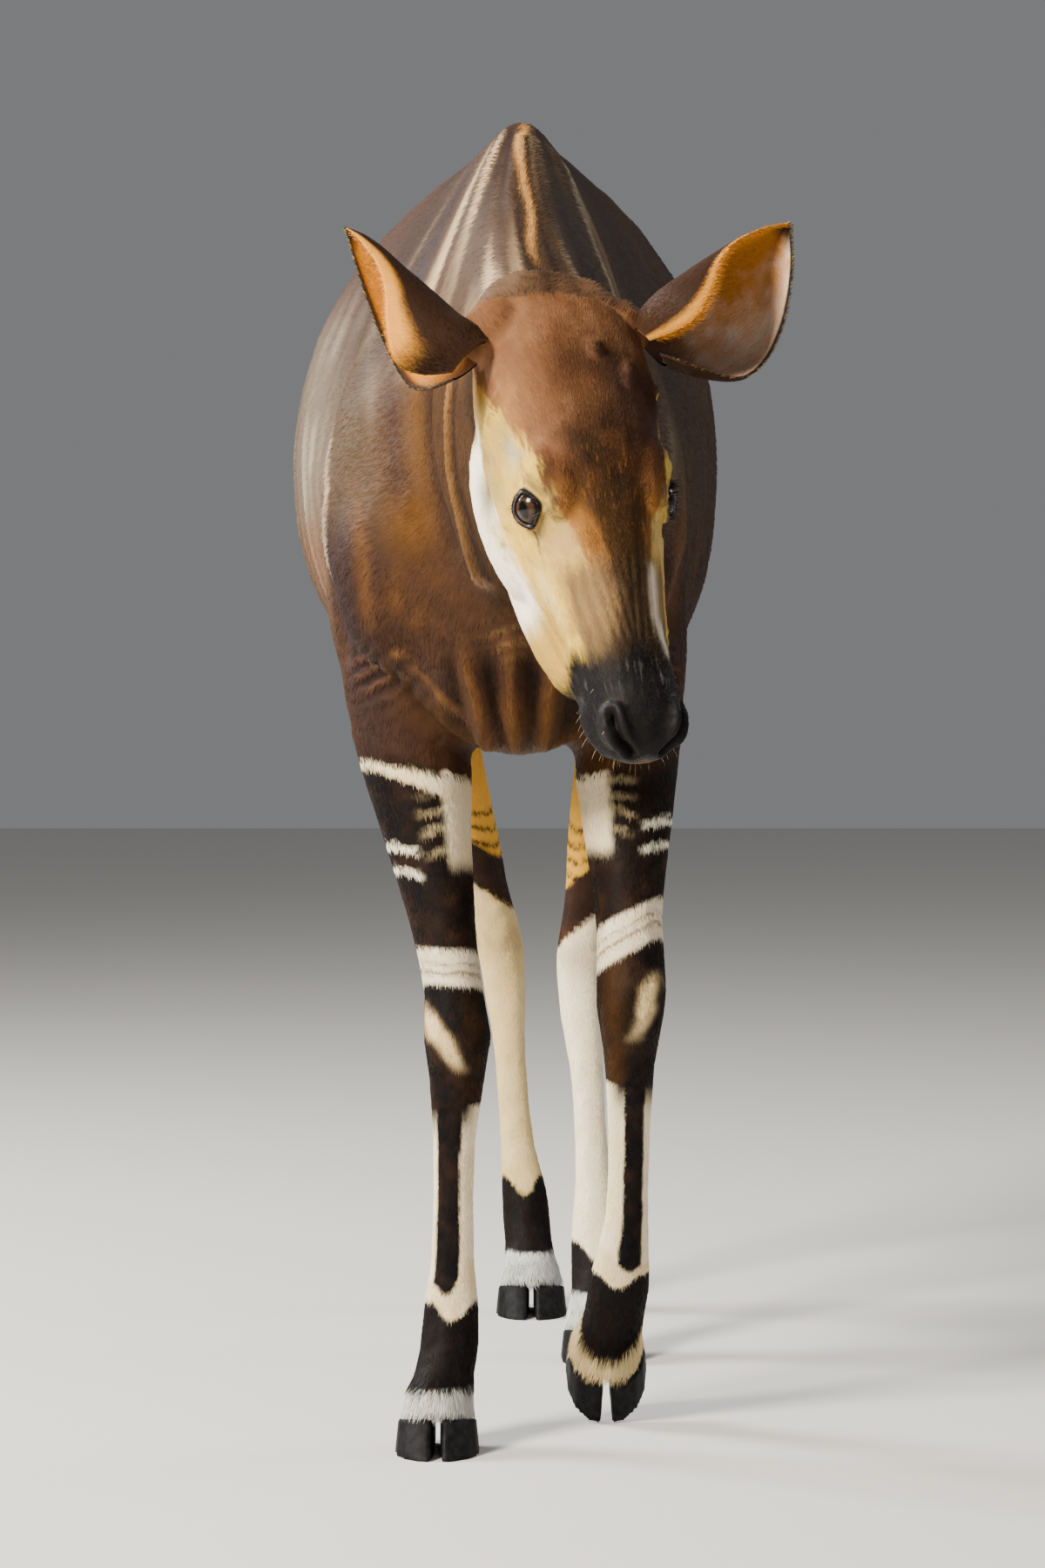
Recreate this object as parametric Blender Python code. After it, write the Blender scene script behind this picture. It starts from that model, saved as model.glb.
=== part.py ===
"""An okapi as a still, life-size model: it walks with its head lowered, facing -Y.

World frame in metres, +Z up. The animal's right side is at -X. The posed body is shaped
around the right fore hoof at y = 0, and at the end the whole model is moved so that its
origin is the middle of its box, on the floor.
"""
import math
import random

import bmesh
import bpy
from mathutils import Matrix, Vector

# Driving dimensions
GAP = 0.0003                # clearance between neighbouring pieces
HEAD_LENGTH = 0.482         # poll to nose tip
EYE_RADIUS = 0.0225
EYE_SPREAD = 0.0620         # eye centre from the head's middle
CORONET_HEIGHT = 0.036      # top of the claws above their sole
CORONET_SLOPE = math.radians(8)
CLEFT = 0.005               # space between two claws at the sole
TUFT_LOCKS = 9
TRUNK_SWAY = -0.022         # the trunk swings to the animal's right as it steps

# Detail of the surfaces
CORE_VOXEL = 0.011
BODY_VOXEL = 0.007
HEAD_VOXEL = 0.0034
RING_SIDES = 28
COARSE_FACES = 7400         # whole body, before it is parted into trunk, neck and legs
HEAD_FACES = 3400

# Head pose: turned to the animal's left, hanging, and tipped sideways
HEAD_PLACE = Vector((0.044, -0.575, 1.262))
HEAD_YAW = math.radians(26)
HEAD_PITCH = math.radians(64)
HEAD_ROLL = math.radians(-8)
HEAD_POSE = (Matrix.Translation(HEAD_PLACE) @ Matrix.Rotation(HEAD_YAW, 4, "Z")
             @ Matrix.Rotation(HEAD_PITCH, 4, "X") @ Matrix.Rotation(HEAD_ROLL, 4, "Y"))

SIDES = (("right", -1), ("left", 1))

# Trunk stations from chest to rump:
# y, middle x, back height, height of the widest line, belly height, half width, top and low power
TRUNK = (
    (-0.150, 0.000, 1.150, 1.02, 0.890, 0.055, 2.0, 2.0),
    (-0.115, 0.000, 1.290, 1.03, 0.835, 0.110, 1.9, 2.0),
    (-0.040, 0.000, 1.455, 1.04, 0.795, 0.165, 1.6, 2.0),
    (0.060, 0.000, 1.512, 1.07, 0.785, 0.198, 1.38, 2.1),
    (0.190, 0.000, 1.515, 1.10, 0.785, 0.220, 1.42, 2.1),
    (0.370, 0.000, 1.500, 1.12, 0.790, 0.248, 1.80, 2.2),
    (0.530, 0.000, 1.480, 1.12, 0.795, 0.264, 2.05, 2.2),
    (0.690, 0.002, 1.460, 1.11, 0.812, 0.264, 2.10, 2.2),
    (0.840, 0.008, 1.443, 1.11, 0.865, 0.240, 2.00, 2.1),
    (0.970, 0.014, 1.412, 1.12, 0.930, 0.208, 1.90, 2.0),
    (1.070, 0.018, 1.366, 1.13, 0.975, 0.168, 1.90, 2.0),
    (1.150, 0.020, 1.305, 1.14, 1.020, 0.118, 1.90, 2.0),
    (1.205, 0.020, 1.228, 1.14, 1.070, 0.055, 2.0, 2.0),
)

# Neck stations from inside the chest to inside the skull:
# x, y, z of the axis, half width, rise to the crest, drop to the throat, top and low power
NECK = (
    (0.000, 0.120, 1.210, 0.150, 0.290, 0.300, 1.5, 2.0),
    (0.000, -0.030, 1.200, 0.130, 0.285, 0.300, 1.55, 2.0),
    (0.000, -0.170, 1.190, 0.108, 0.222, 0.262, 1.65, 2.0),
    (0.010, -0.320, 1.177, 0.090, 0.168, 0.182, 1.8, 2.0),
    (0.024, -0.460, 1.155, 0.078, 0.134, 0.118, 2.0, 2.0),
    (0.038, -0.560, 1.130, 0.068, 0.112, 0.090, 2.0, 2.0),
)

# Head stations along the face, in the head's own frame (nose at -Y, forehead up):
# distance from the poll, top, widest line, underside, half width, top and low power
HEAD = (
    (-0.070, -0.055, -0.095, -0.150, 0.034, 2.0, 2.0),
    (-0.045, -0.022, -0.085, -0.185, 0.062, 2.0, 2.0),
    (0.000, 0.000, -0.062, -0.210, 0.078, 2.5, 1.9),
    (0.060, 0.014, -0.052, -0.226, 0.085, 2.6, 1.95),
    (0.120, 0.018, -0.050, -0.228, 0.085, 2.5, 2.0),
    (0.185, 0.014, -0.056, -0.226, 0.078, 2.4, 2.25),
    (0.240, 0.004, -0.066, -0.214, 0.068, 2.2, 2.4),
    (0.300, -0.006, -0.074, -0.190, 0.058, 2.1, 2.35),
    (0.355, -0.012, -0.074, -0.160, 0.050, 2.2, 2.2),
    (0.404, -0.016, -0.068, -0.132, 0.046, 2.3, 2.2),
    (0.446, -0.022, -0.062, -0.110, 0.043, 2.3, 2.2),
    (0.470, -0.034, -0.062, -0.092, 0.034, 2.2, 2.2),
    (HEAD_LENGTH, -0.052, -0.062, -0.074, 0.016, 2.0, 2.0),
)

# Limb stations from inside the trunk down to the coronet:
# x, y, z, half width, reach to the front, reach to the back
LEGS = {
    "leg_fore_right": (
        (-0.130, 0.110, 1.030, 0.070, 0.110, 0.110),
        (-0.138, 0.120, 0.900, 0.075, 0.100, 0.098),
        (-0.124, 0.105, 0.790, 0.068, 0.082, 0.085),
        (-0.108, 0.080, 0.690, 0.052, 0.062, 0.062),
        (-0.092, 0.056, 0.600, 0.040, 0.048, 0.045),
        (-0.080, 0.040, 0.525, 0.035, 0.044, 0.038),
        (-0.074, 0.030, 0.465, 0.040, 0.044, 0.040),
        (-0.075, 0.030, 0.410, 0.033, 0.034, 0.036),
        (-0.078, 0.032, 0.330, 0.0265, 0.028, 0.031),
        (-0.079, 0.030, 0.220, 0.027, 0.028, 0.032),
        (-0.081, 0.026, 0.155, 0.033, 0.032, 0.038),
        (-0.083, 0.018, 0.115, 0.035, 0.034, 0.040),
        (-0.089, 0.002, 0.078, 0.036, 0.036, 0.040),
        (-0.095, -0.013, 0.052, 0.042, 0.045, 0.046),
        (-0.096, -0.018, 0.036, 0.045, 0.050, 0.048),
    ),
    "leg_fore_left": (
        (0.118, 0.120, 1.030, 0.070, 0.110, 0.110),
        (0.121, 0.135, 0.900, 0.071, 0.100, 0.095),
        (0.119, 0.110, 0.790, 0.064, 0.082, 0.082),
        (0.120, 0.072, 0.690, 0.051, 0.062, 0.060),
        (0.121, 0.040, 0.605, 0.040, 0.048, 0.044),
        (0.123, 0.022, 0.545, 0.041, 0.044, 0.040),
        (0.123, 0.014, 0.500, 0.041, 0.040, 0.040),
        (0.122, 0.034, 0.450, 0.033, 0.034, 0.038),
        (0.122, 0.064, 0.370, 0.0270, 0.028, 0.031),
        (0.121, 0.104, 0.265, 0.027, 0.028, 0.032),
        (0.116, 0.126, 0.200, 0.034, 0.032, 0.038),
        (0.112, 0.140, 0.162, 0.037, 0.034, 0.040),
        (0.106, 0.154, 0.125, 0.037, 0.036, 0.038),
        (0.100, 0.164, 0.100, 0.042, 0.044, 0.044),
        (0.098, 0.172, 0.086, 0.044, 0.050, 0.048),
    ),
    "leg_hind_right": (
        (-0.120, 0.920, 1.170, 0.085, 0.150, 0.170),
        (-0.138, 0.900, 1.040, 0.082, 0.155, 0.190),
        (-0.138, 0.905, 0.930, 0.070, 0.135, 0.165),
        (-0.118, 0.955, 0.810, 0.057, 0.098, 0.110),
        (-0.088, 1.030, 0.700, 0.045, 0.070, 0.078),
        (-0.054, 1.100, 0.590, 0.034, 0.050, 0.058),
        (-0.034, 1.132, 0.510, 0.034, 0.048, 0.054),
        (-0.024, 1.138, 0.430, 0.030, 0.038, 0.044),
        (-0.017, 1.125, 0.340, 0.0235, 0.029, 0.032),
        (-0.008, 1.108, 0.230, 0.025, 0.028, 0.032),
        (0.002, 1.095, 0.160, 0.032, 0.032, 0.038),
        (0.006, 1.084, 0.115, 0.034, 0.034, 0.040),
        (0.009, 1.066, 0.078, 0.035, 0.035, 0.040),
        (0.011, 1.049, 0.052, 0.041, 0.044, 0.045),
        (0.012, 1.044, 0.036, 0.043, 0.049, 0.048),
    ),
    "leg_hind_left": (
        (0.128, 0.890, 1.170, 0.085, 0.160, 0.190),
        (0.145, 0.850, 1.040, 0.082, 0.160, 0.200),
        (0.145, 0.805, 0.930, 0.070, 0.130, 0.175),
        (0.128, 0.788, 0.810, 0.057, 0.098, 0.116),
        (0.106, 0.796, 0.700, 0.045, 0.070, 0.080),
        (0.086, 0.806, 0.590, 0.034, 0.050, 0.060),
        (0.076, 0.806, 0.510, 0.034, 0.046, 0.056),
        (0.077, 0.790, 0.430, 0.030, 0.038, 0.044),
        (0.084, 0.762, 0.340, 0.0235, 0.029, 0.032),
        (0.090, 0.730, 0.230, 0.025, 0.028, 0.032),
        (0.093, 0.708, 0.160, 0.032, 0.032, 0.038),
        (0.094, 0.692, 0.115, 0.034, 0.034, 0.040),
        (0.095, 0.672, 0.078, 0.035, 0.035, 0.040),
        (0.096, 0.651, 0.052, 0.041, 0.044, 0.045),
        (0.096, 0.646, 0.036, 0.043, 0.049, 0.048),
    ),
}

# Colours: base colour, roughness
COAT_BROWN = ((0.115, 0.058, 0.036), 0.55)
NECK_BROWN = ((0.150, 0.068, 0.038), 0.55)
FACE_BROWN = ((0.230, 0.110, 0.060), 0.60)
LEG_STRIPED = ((0.300, 0.230, 0.170), 0.60)
EAR_BROWN = ((0.110, 0.050, 0.035), 0.60)
TAIL_DARK = ((0.060, 0.036, 0.028), 0.65)
EYE_DARK = ((0.020, 0.012, 0.010), 0.06)
HORN_GREY = ((0.060, 0.052, 0.048), 0.40)


def clear_scene():
    for old in list(bpy.data.objects):
        bpy.data.objects.remove(old, do_unlink=True)


def material(name, look):
    colour, roughness = look
    made = bpy.data.materials.new(name)
    made.use_nodes = True
    shader = made.node_tree.nodes["Principled BSDF"]
    shader.inputs["Base Color"].default_value = (*colour, 1.0)
    shader.inputs["Roughness"].default_value = roughness
    shader.inputs["Metallic"].default_value = 0.0
    return made


def new_object(name, mesh):
    made = bpy.data.objects.new(name, mesh)
    bpy.context.scene.collection.objects.link(made)
    return made


def object_from_bmesh(name, shape):
    bmesh.ops.recalc_face_normals(shape, faces=shape.faces)
    mesh = bpy.data.meshes.new(name)
    shape.to_mesh(mesh)
    shape.free()
    return new_object(name, mesh)


def between(keys, steps):
    """Rows of numbers on a smooth curve (Catmull-Rom) through the rows of keys."""
    rows = []
    last = len(keys) - 1
    for span in range(last):
        before = keys[max(span - 1, 0)]
        start = keys[span]
        end = keys[span + 1]
        after = keys[min(span + 2, last)]
        for step in range(steps):
            t = step / steps
            rows.append(tuple(
                0.5 * (2 * b + (c - a) * t + (2 * a - 5 * b + 4 * c - d) * t ** 2
                       + (3 * b - a - 3 * c + d) * t ** 3)
                for a, b, c, d in zip(before, start, end, after)))
    rows.append(tuple(keys[-1]))
    return rows


def power_ring(centre, side, up, half_width, rise, drop, top_power, low_power):
    """A closed ring whose upper and lower halves are superellipses of their own."""
    points = []
    for step in range(RING_SIDES):
        angle = 2 * math.pi * step / RING_SIDES
        power = top_power if math.sin(angle) >= 0 else low_power
        reach = rise if math.sin(angle) >= 0 else drop
        across = math.copysign(abs(math.cos(angle)) ** (2 / power), math.cos(angle))
        upward = math.copysign(abs(math.sin(angle)) ** (2 / power), math.sin(angle))
        points.append(centre + side * (half_width * across) + up * (reach * upward))
    return points


def loft(name, rings):
    """A closed skin over a row of rings, with a flat end on each side."""
    shape = bmesh.new()
    rows = [[shape.verts.new(point) for point in ring] for ring in rings]
    count = len(rows[0])
    for near, far in zip(rows, rows[1:]):
        for i in range(count):
            j = (i + 1) % count
            shape.faces.new((near[i], near[j], far[j], far[i]))
    shape.faces.new(rows[0][::-1])
    shape.faces.new(rows[-1])
    return object_from_bmesh(name, shape)


def trunk():
    rings = []
    for y, x, back, wide, belly, half_width, top_power, low_power in between(TRUNK, 3):
        ring = power_ring(Vector((x, y, wide)), Vector((1, 0, 0)), Vector((0, 0, 1)),
                          half_width, back - wide, wide - belly, top_power, low_power)
        for point in ring:
            reach = back - wide if point.z > wide else wide - belly
            point.x += TRUNK_SWAY * (1 - ((point.z - wide) / reach) ** 2)
        rings.append(ring)
    return loft("trunk", rings)


def along(points, i):
    """Direction of a row of points at point i."""
    ahead = points[min(i + 1, len(points) - 1)]
    behind = points[max(i - 1, 0)]
    return (ahead - behind).normalized()


def neck():
    rows = between(NECK, 4)
    axis = [Vector(row[:3]) for row in rows]
    rings = []
    for i, row in enumerate(rows):
        tangent = along(axis, i)
        side = tangent.cross(Vector((0, 0, 1))).normalized()
        up = side.cross(tangent).normalized()
        rings.append(power_ring(axis[i], side, up, *row[3:]))
    return loft("neck_shape", rings)


def skull():
    rings = []
    for s, top, wide, low, half_width, top_power, low_power in between(HEAD, 4):
        rings.append(power_ring(Vector((0, -s, wide)), Vector((1, 0, 0)), Vector((0, 0, 1)),
                                half_width, top - wide, wide - low, top_power, low_power))
    made = loft("skull", rings)
    made.data.transform(HEAD_POSE)
    return made


def limb(name, keys):
    beyond = tuple(2 * a - b for a, b in zip(keys[-1][:3], keys[-2][:3])) + keys[-1][3:]
    rows = between(keys + (beyond,), 3)
    axis = [Vector(row[:3]) for row in rows]
    rings = []
    for i, (x, y, z, half_width, front, back) in enumerate(rows):
        tangent = along(axis, i)
        front_way = (Vector((0, -1, 0)) - tangent * tangent.dot(Vector((0, -1, 0)))).normalized()
        side = tangent.cross(front_way).normalized()
        rings.append(power_ring(axis[i], side, front_way, half_width, front, back, 2.1, 2.1))
    return loft(name, rings)


def blob(name, centre, size, tilt=(0, 0, 0), pose=None):
    """An ellipsoid of the given half sizes, tilted in degrees about X, Y and Z."""
    shape = bmesh.new()
    bmesh.ops.create_uvsphere(shape, u_segments=24, v_segments=14, radius=1.0)
    turn = Matrix.Identity(4)
    for angle, axis in zip(tilt, "XYZ"):
        turn = Matrix.Rotation(math.radians(angle), 4, axis) @ turn
    place = Matrix.Translation(Vector(centre)) @ turn @ Matrix.Diagonal((*size, 1))
    if pose:
        place = pose @ place
    shape.transform(place)
    return object_from_bmesh(name, shape)


def trunk_muscles():
    """Shoulder blades, upper arms, haunches, thighs, chest and the fold of the flank."""
    made = []
    for side, sign in SIDES:
        x = TRUNK_SWAY
        made += [
            blob("shoulder_" + side, (x + sign * 0.118, 0.085, 1.190), (0.070, 0.115, 0.235), (-20, sign * -18, 0)),
            blob("arm_point_" + side, (x + sign * 0.118, -0.020, 1.000), (0.078, 0.085, 0.130), (-10, 0, 0)),
            blob("upper_arm_" + side, (x + sign * 0.145, 0.140, 0.985), (0.064, 0.130, 0.160), (20, 0, 0)),
            blob("haunch_" + side, (x + sign * 0.124 + 0.030, 0.945, 1.140), (0.104, 0.235, 0.225)),
            blob("buttock_" + side, (sign * 0.085 + 0.012, 1.070, 1.080), (0.082, 0.120, 0.190), (-22, 0, 0)),
            blob("flank_" + side, (x + sign * 0.150, 0.760, 0.930), (0.070, 0.130, 0.090)),
        ]
    made.append(blob("brisket", (-0.005, 0.000, 0.868), (0.105, 0.130, 0.088)))
    return made


def face_forms():
    """Brows, cheeks, nostril wings, lips and the two knobs, in the head's own frame."""
    made = []
    for side, sign in SIDES:
        made += [
            blob("brow_" + side, (sign * 0.050, -0.192, -0.012), (0.030, 0.050, 0.018), (0, sign * 18, 0), HEAD_POSE),
            blob("cheek_bone_" + side, (sign * 0.058, -0.180, -0.084), (0.021, 0.090, 0.020), (-8, 0, 0), HEAD_POSE),
            blob("cheek_" + side, (sign * 0.044, -0.160, -0.156), (0.036, 0.120, 0.064), (-16, 0, 0), HEAD_POSE),
            blob("jaw_" + side, (sign * 0.034, -0.262, -0.168), (0.024, 0.135, 0.036), (-22, 0, 0), HEAD_POSE),
            blob("ear_root_" + side, (sign * 0.064, -0.014, -0.046), (0.038, 0.038, 0.042), (0, 0, 0), HEAD_POSE),
            blob("nostril_wing_" + side, (sign * 0.025, -0.446, -0.048), (0.021, 0.030, 0.024), (0, 0, sign * 10),
                 HEAD_POSE),
            blob("upper_lip_" + side, (sign * 0.022, -0.426, -0.080), (0.028, 0.048, 0.020), (-6, 0, 0), HEAD_POSE),
        ]
    made.append(blob("knob_middle", (0.012, -0.068, 0.013), (0.009, 0.011, 0.011), (0, 0, 0), HEAD_POSE))
    made.append(blob("knob_left", (0.042, -0.098, 0.008), (0.009, 0.018, 0.011), (0, 0, -20), HEAD_POSE))
    made.append(blob("chin", (0.0, -0.406, -0.114), (0.033, 0.044, 0.018), (-8, 0, 0), HEAD_POSE))
    return made


def tail_core():
    keys = (
        (0.010, 1.100, 1.305, 0.032, 0.032, 0.032),
        (0.010, 1.175, 1.270, 0.028, 0.028, 0.028),
        (0.010, 1.240, 1.205, 0.023, 0.023, 0.023),
        (0.009, 1.268, 1.110, 0.018, 0.018, 0.018),
        (0.007, 1.273, 1.010, 0.0145, 0.0145, 0.0145),
        (0.004, 1.268, 0.925, 0.013, 0.013, 0.013),
    )
    return limb("tail_core", keys)


def fuse(name, pieces, voxel, rounds, faces=None):
    """One smooth closed skin over overlapping pieces, brought down to about so many triangles if given."""
    bpy.context.view_layer.update()
    shape = bmesh.new()
    for piece in pieces:
        shape.from_mesh(piece.data)
    merged = object_from_bmesh(name, shape)
    for piece in pieces:
        bpy.data.objects.remove(piece, do_unlink=True)
    remesh = merged.modifiers.new("one_skin", "REMESH")
    remesh.mode = "VOXEL"
    remesh.voxel_size = voxel
    soften = merged.modifiers.new("soften", "SMOOTH")
    soften.factor = 0.5
    soften.iterations = rounds
    bake(merged)
    if faces:
        fewer = merged.modifiers.new("fewer", "DECIMATE")
        fewer.ratio = min(1.0, faces / (2 * len(merged.data.polygons)))
        bake(merged)
    return merged


def bake(made):
    """Applies an object's modifiers."""
    bpy.context.view_layer.update()
    graph = bpy.context.evaluated_depsgraph_get()
    mesh = bpy.data.meshes.new_from_object(made.evaluated_get(graph))
    made.modifiers.clear()
    made.data = mesh


def clear_faces(shape):
    """Three-cornered faces with no slivers left from a cut."""
    bmesh.ops.triangulate(shape, faces=[face for face in shape.faces if len(face.verts) > 3])


def islands(shape):
    """Connected groups of faces."""
    left = set(shape.faces)
    groups = []
    while left:
        start = left.pop()
        group = [start]
        stack = [start]
        while stack:
            for edge in stack.pop().edges:
                for face in edge.link_faces:
                    if face in left:
                        left.remove(face)
                        group.append(face)
                        stack.append(face)
        groups.append(group)
    return groups


def keep_island(shape, near=None):
    """Keeps the island with most area, or the one that comes nearest to a point."""
    groups = islands(shape)
    if near is None:
        best = max(groups, key=lambda group: sum(face.calc_area() for face in group))
    else:
        best = min(groups, key=lambda group: min((face.calc_center_median() - near).length for face in group))
    keep = set(best)
    bmesh.ops.delete(shape, geom=[face for face in shape.faces if face not in keep], context="FACES")


def cut(shape, point, normal):
    """Removes what lies beyond a plane and closes the opening with a flat face."""
    geometry = shape.verts[:] + shape.edges[:] + shape.faces[:]
    bmesh.ops.bisect_plane(shape, geom=geometry, dist=1e-6, plane_co=point, plane_no=normal, clear_outer=True)
    rim = [edge for edge in shape.edges if len(edge.link_faces) == 1]
    if rim:
        bmesh.ops.edgeloop_fill(shape, edges=rim)
    clear_faces(shape)


def piece_of(name, source, planes, near=None):
    """The piece of source on the inner side of each plane, half a gap back from it."""
    shape = bmesh.new()
    shape.from_mesh(source.data)
    for point, normal in planes:
        cut(shape, Vector(point) - Vector(normal).normalized() * (GAP / 2), Vector(normal).normalized())
    keep_island(shape, near)
    return object_from_bmesh(name, shape)


def turned(plane):
    """The same plane, seen from its other side."""
    point, normal = plane
    return point, -Vector(normal)


# Cutting planes: a point on the plane and the way out of the piece named first
NECK_FRONT = (Vector((0.0, -0.085, 1.25)), Vector((0, -1, 0.32)))       # trunk, then neck
HEAD_BACK = (Vector((0.035, -0.520, 1.20)), Vector((0.10, -1, -0.80)))  # neck, then head
TAIL_ROOT = (Vector((0.0, 1.238, 1.2)), Vector((0, 1, 0)))              # trunk, then tail
LEG_TOPS = {                                                            # trunk, then leg
    "leg_fore_right": (Vector((-0.05, 0.10, 0.752)), Vector((-0.42, 0.05, -1))),
    "leg_fore_left": (Vector((0.05, 0.10, 0.752)), Vector((0.42, 0.05, -1))),
    "leg_hind_right": (Vector((-0.04, 0.90, 0.865)), Vector((-0.38, 0.35, -1))),
    "leg_hind_left": (Vector((0.05, 0.86, 0.855)), Vector((0.38, 0.35, -1))),
}


# Tilt of each foot, toe down: the left fore foot is leaving the ground on its toe tips
FOOT_TILT = {name: 0.0 for name in LEGS}
FOOT_TILT["leg_fore_left"] = math.radians(60)


def foot_frame(name):
    """Foot frame to world: origin under the coronet on the sole, toe at -Y, sole facing -Z."""
    turn = Matrix.Rotation(FOOT_TILT[name], 4, "X")
    top = Vector(LEGS[name][-1][:3])
    return Matrix.Translation(top - turn @ Vector((0, 0, CORONET_HEIGHT))) @ turn


def coronet_plane(name):
    """The plane where a leg ends and its claws begin, facing down."""
    frame = foot_frame(name)
    down = Vector((0, -math.sin(CORONET_SLOPE), -math.cos(CORONET_SLOPE)))
    return frame @ Vector((0, 0, CORONET_HEIGHT)), frame.to_3x3() @ down


def claw_ring(height, sign):
    """Outline of one claw at a height over the sole: full outside, flat beside the cleft."""
    depth = 0.046 - height
    toe = 0.045 + 0.80 * depth
    heel = 0.042 + 0.10 * depth
    wide = 0.040 + 0.10 * depth
    points = []
    steps = 9
    for i in range(steps + 1):
        along_claw = math.cos(math.pi * i / steps)
        y = -toe * along_claw if along_claw > 0 else -heel * along_claw
        swell = (1 - abs(along_claw) ** 2.6) ** 0.62
        points.append(Vector((sign * (CLEFT / 2 + 0.006 * max(along_claw, 0) + wide * swell), y, height)))
    for i in range(steps - 1, 0, -1):
        along_claw = math.cos(math.pi * i / steps)
        y = -toe * along_claw if along_claw > 0 else -heel * along_claw
        points.append(Vector((sign * (CLEFT / 2 + 0.004 * max(along_claw, 0) ** 2), y, height)))
    return points


def claws(name):
    """The two claws of one foot, parted from the leg by the coronet plane and flat on the floor."""
    frame = foot_frame(name)
    top_point, down = coronet_plane(name)
    outer_sign = dict(SIDES)[name.split("_")[-1]]
    for side, sign in SIDES:
        rings = [claw_ring(height, sign) for height in (0.0, 0.012, 0.026, 0.040, 0.054)]
        made = loft("claw", rings)
        made.data.transform(frame)
        shape = bmesh.new()
        shape.from_mesh(made.data)
        bpy.data.objects.remove(made, do_unlink=True)
        cut(shape, top_point + down * (GAP / 2), -down)
        cut(shape, Vector((0, 0, 0)), Vector((0, 0, -1)))
        place = "outer" if sign == outer_sign else "inner"
        object_from_bmesh(name.replace("leg", "claw") + "_" + place, shape)


def lid_point(sign, along_face, up_face, radius):
    """A point round the eye, by angles on the eyeball along the face and up it."""
    outward = Vector((sign * 0.80, -0.32, 0.42)).normalized()
    forward = (Vector((0, -1, -0.25)) - outward * outward.dot(Vector((0, -1, -0.25)))).normalized()
    upward = outward.cross(forward).normalized()
    if upward.z < 0:
        upward = -upward
    turn = (outward + forward * math.tan(along_face) + upward * math.tan(up_face)).normalized()
    return Vector((sign * EYE_SPREAD, -0.210, -0.044)) + turn * radius


def lids(side, sign):
    """The round of the orbit, and upper and lower lid as one soft ring on it."""
    steps = 28
    made = [blob("orbit_" + side, lid_point(sign, 0, 0, -0.009), (0.027, 0.031, 0.028), (0, 0, 0), HEAD_POSE)]
    for i in range(steps):
        angle = 2 * math.pi * i / steps
        place = lid_point(sign, math.radians(57) * math.cos(angle), math.radians(44) * math.sin(angle),
                          EYE_RADIUS - 0.0010)
        size = 0.0050 if math.sin(angle) > 0 else 0.0042
        made.append(blob("lid_" + side, place, (size, size, size), (0, 0, 0), HEAD_POSE))
    return made


def eye(side, sign):
    centre = HEAD_POSE @ lid_point(sign, 0, 0, 0)
    shape = bmesh.new()
    bmesh.ops.create_uvsphere(shape, u_segments=16, v_segments=10, radius=EYE_RADIUS)
    shape.transform(Matrix.Translation(centre))
    return object_from_bmesh("eye_" + side, shape)


def carve(target, tools):
    """Boolean difference with each tool, which is then removed."""
    for tool in tools:
        less = target.modifiers.new("carve", "BOOLEAN")
        less.operation = "DIFFERENCE"
        less.solver = "EXACT"
        less.object = tool
        bake(target)
        bpy.data.objects.remove(tool, do_unlink=True)
    shape = bmesh.new()
    shape.from_mesh(target.data)
    clear_faces(shape)
    keep_island(shape)
    shape.to_mesh(target.data)
    shape.free()


def face_tools():
    """Solids that hollow the eye sockets, the nostrils and the line of the mouth."""
    made = []
    for side, sign in SIDES:
        shape = bmesh.new()
        bmesh.ops.create_uvsphere(shape, u_segments=16, v_segments=10, radius=EYE_RADIUS + GAP)
        shape.transform(Matrix.Translation(HEAD_POSE @ lid_point(sign, 0, 0, 0)))
        made.append(object_from_bmesh("socket_" + side, shape))
        made.append(blob("nostril_" + side, (sign * 0.030, -0.464, -0.042), (0.0055, 0.018, 0.010),
                         (24, 0, sign * -39), HEAD_POSE))
    made.append(mouth_line())
    return made


def mouth_line():
    """A thin bent strip that cuts the line of the mouth from corner round to corner."""
    path = []
    steps = 22
    for i in range(steps + 1):
        angle = math.pi * i / steps
        reach = abs(math.sin(angle)) ** 0.55
        x = -math.cos(angle) * 0.041
        y = -0.370 - 0.098 * reach
        path.append(Vector((x, y, -0.096 + 0.006 * reach)))
    rings = []
    for i, point in enumerate(path):
        tangent = along(path, i)
        outward = Vector((tangent.y, -tangent.x, 0)).normalized()
        if outward.dot(point - Vector((0, -0.39, point.z))) < 0:
            outward = -outward
        thick = Vector((0, 0, 0.0011))
        rings.append([point - outward * 0.005 - thick, point + outward * 0.014 - thick,
                      point + outward * 0.014 + thick, point - outward * 0.005 + thick])
    made = loft("mouth_line", rings)
    made.data.transform(HEAD_POSE)
    return made


# Ears in the world: base, tip, and the way the cup opens
EARS = {
    "right": (Vector((-0.048, -0.590, 1.202)), Vector((-0.178, -0.545, 1.333)), Vector((-0.62, -0.40, -0.66))),
    "left": (Vector((0.126, -0.540, 1.216)), Vector((0.270, -0.520, 1.340)), Vector((0.10, -0.98, -0.02))),
}

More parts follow.
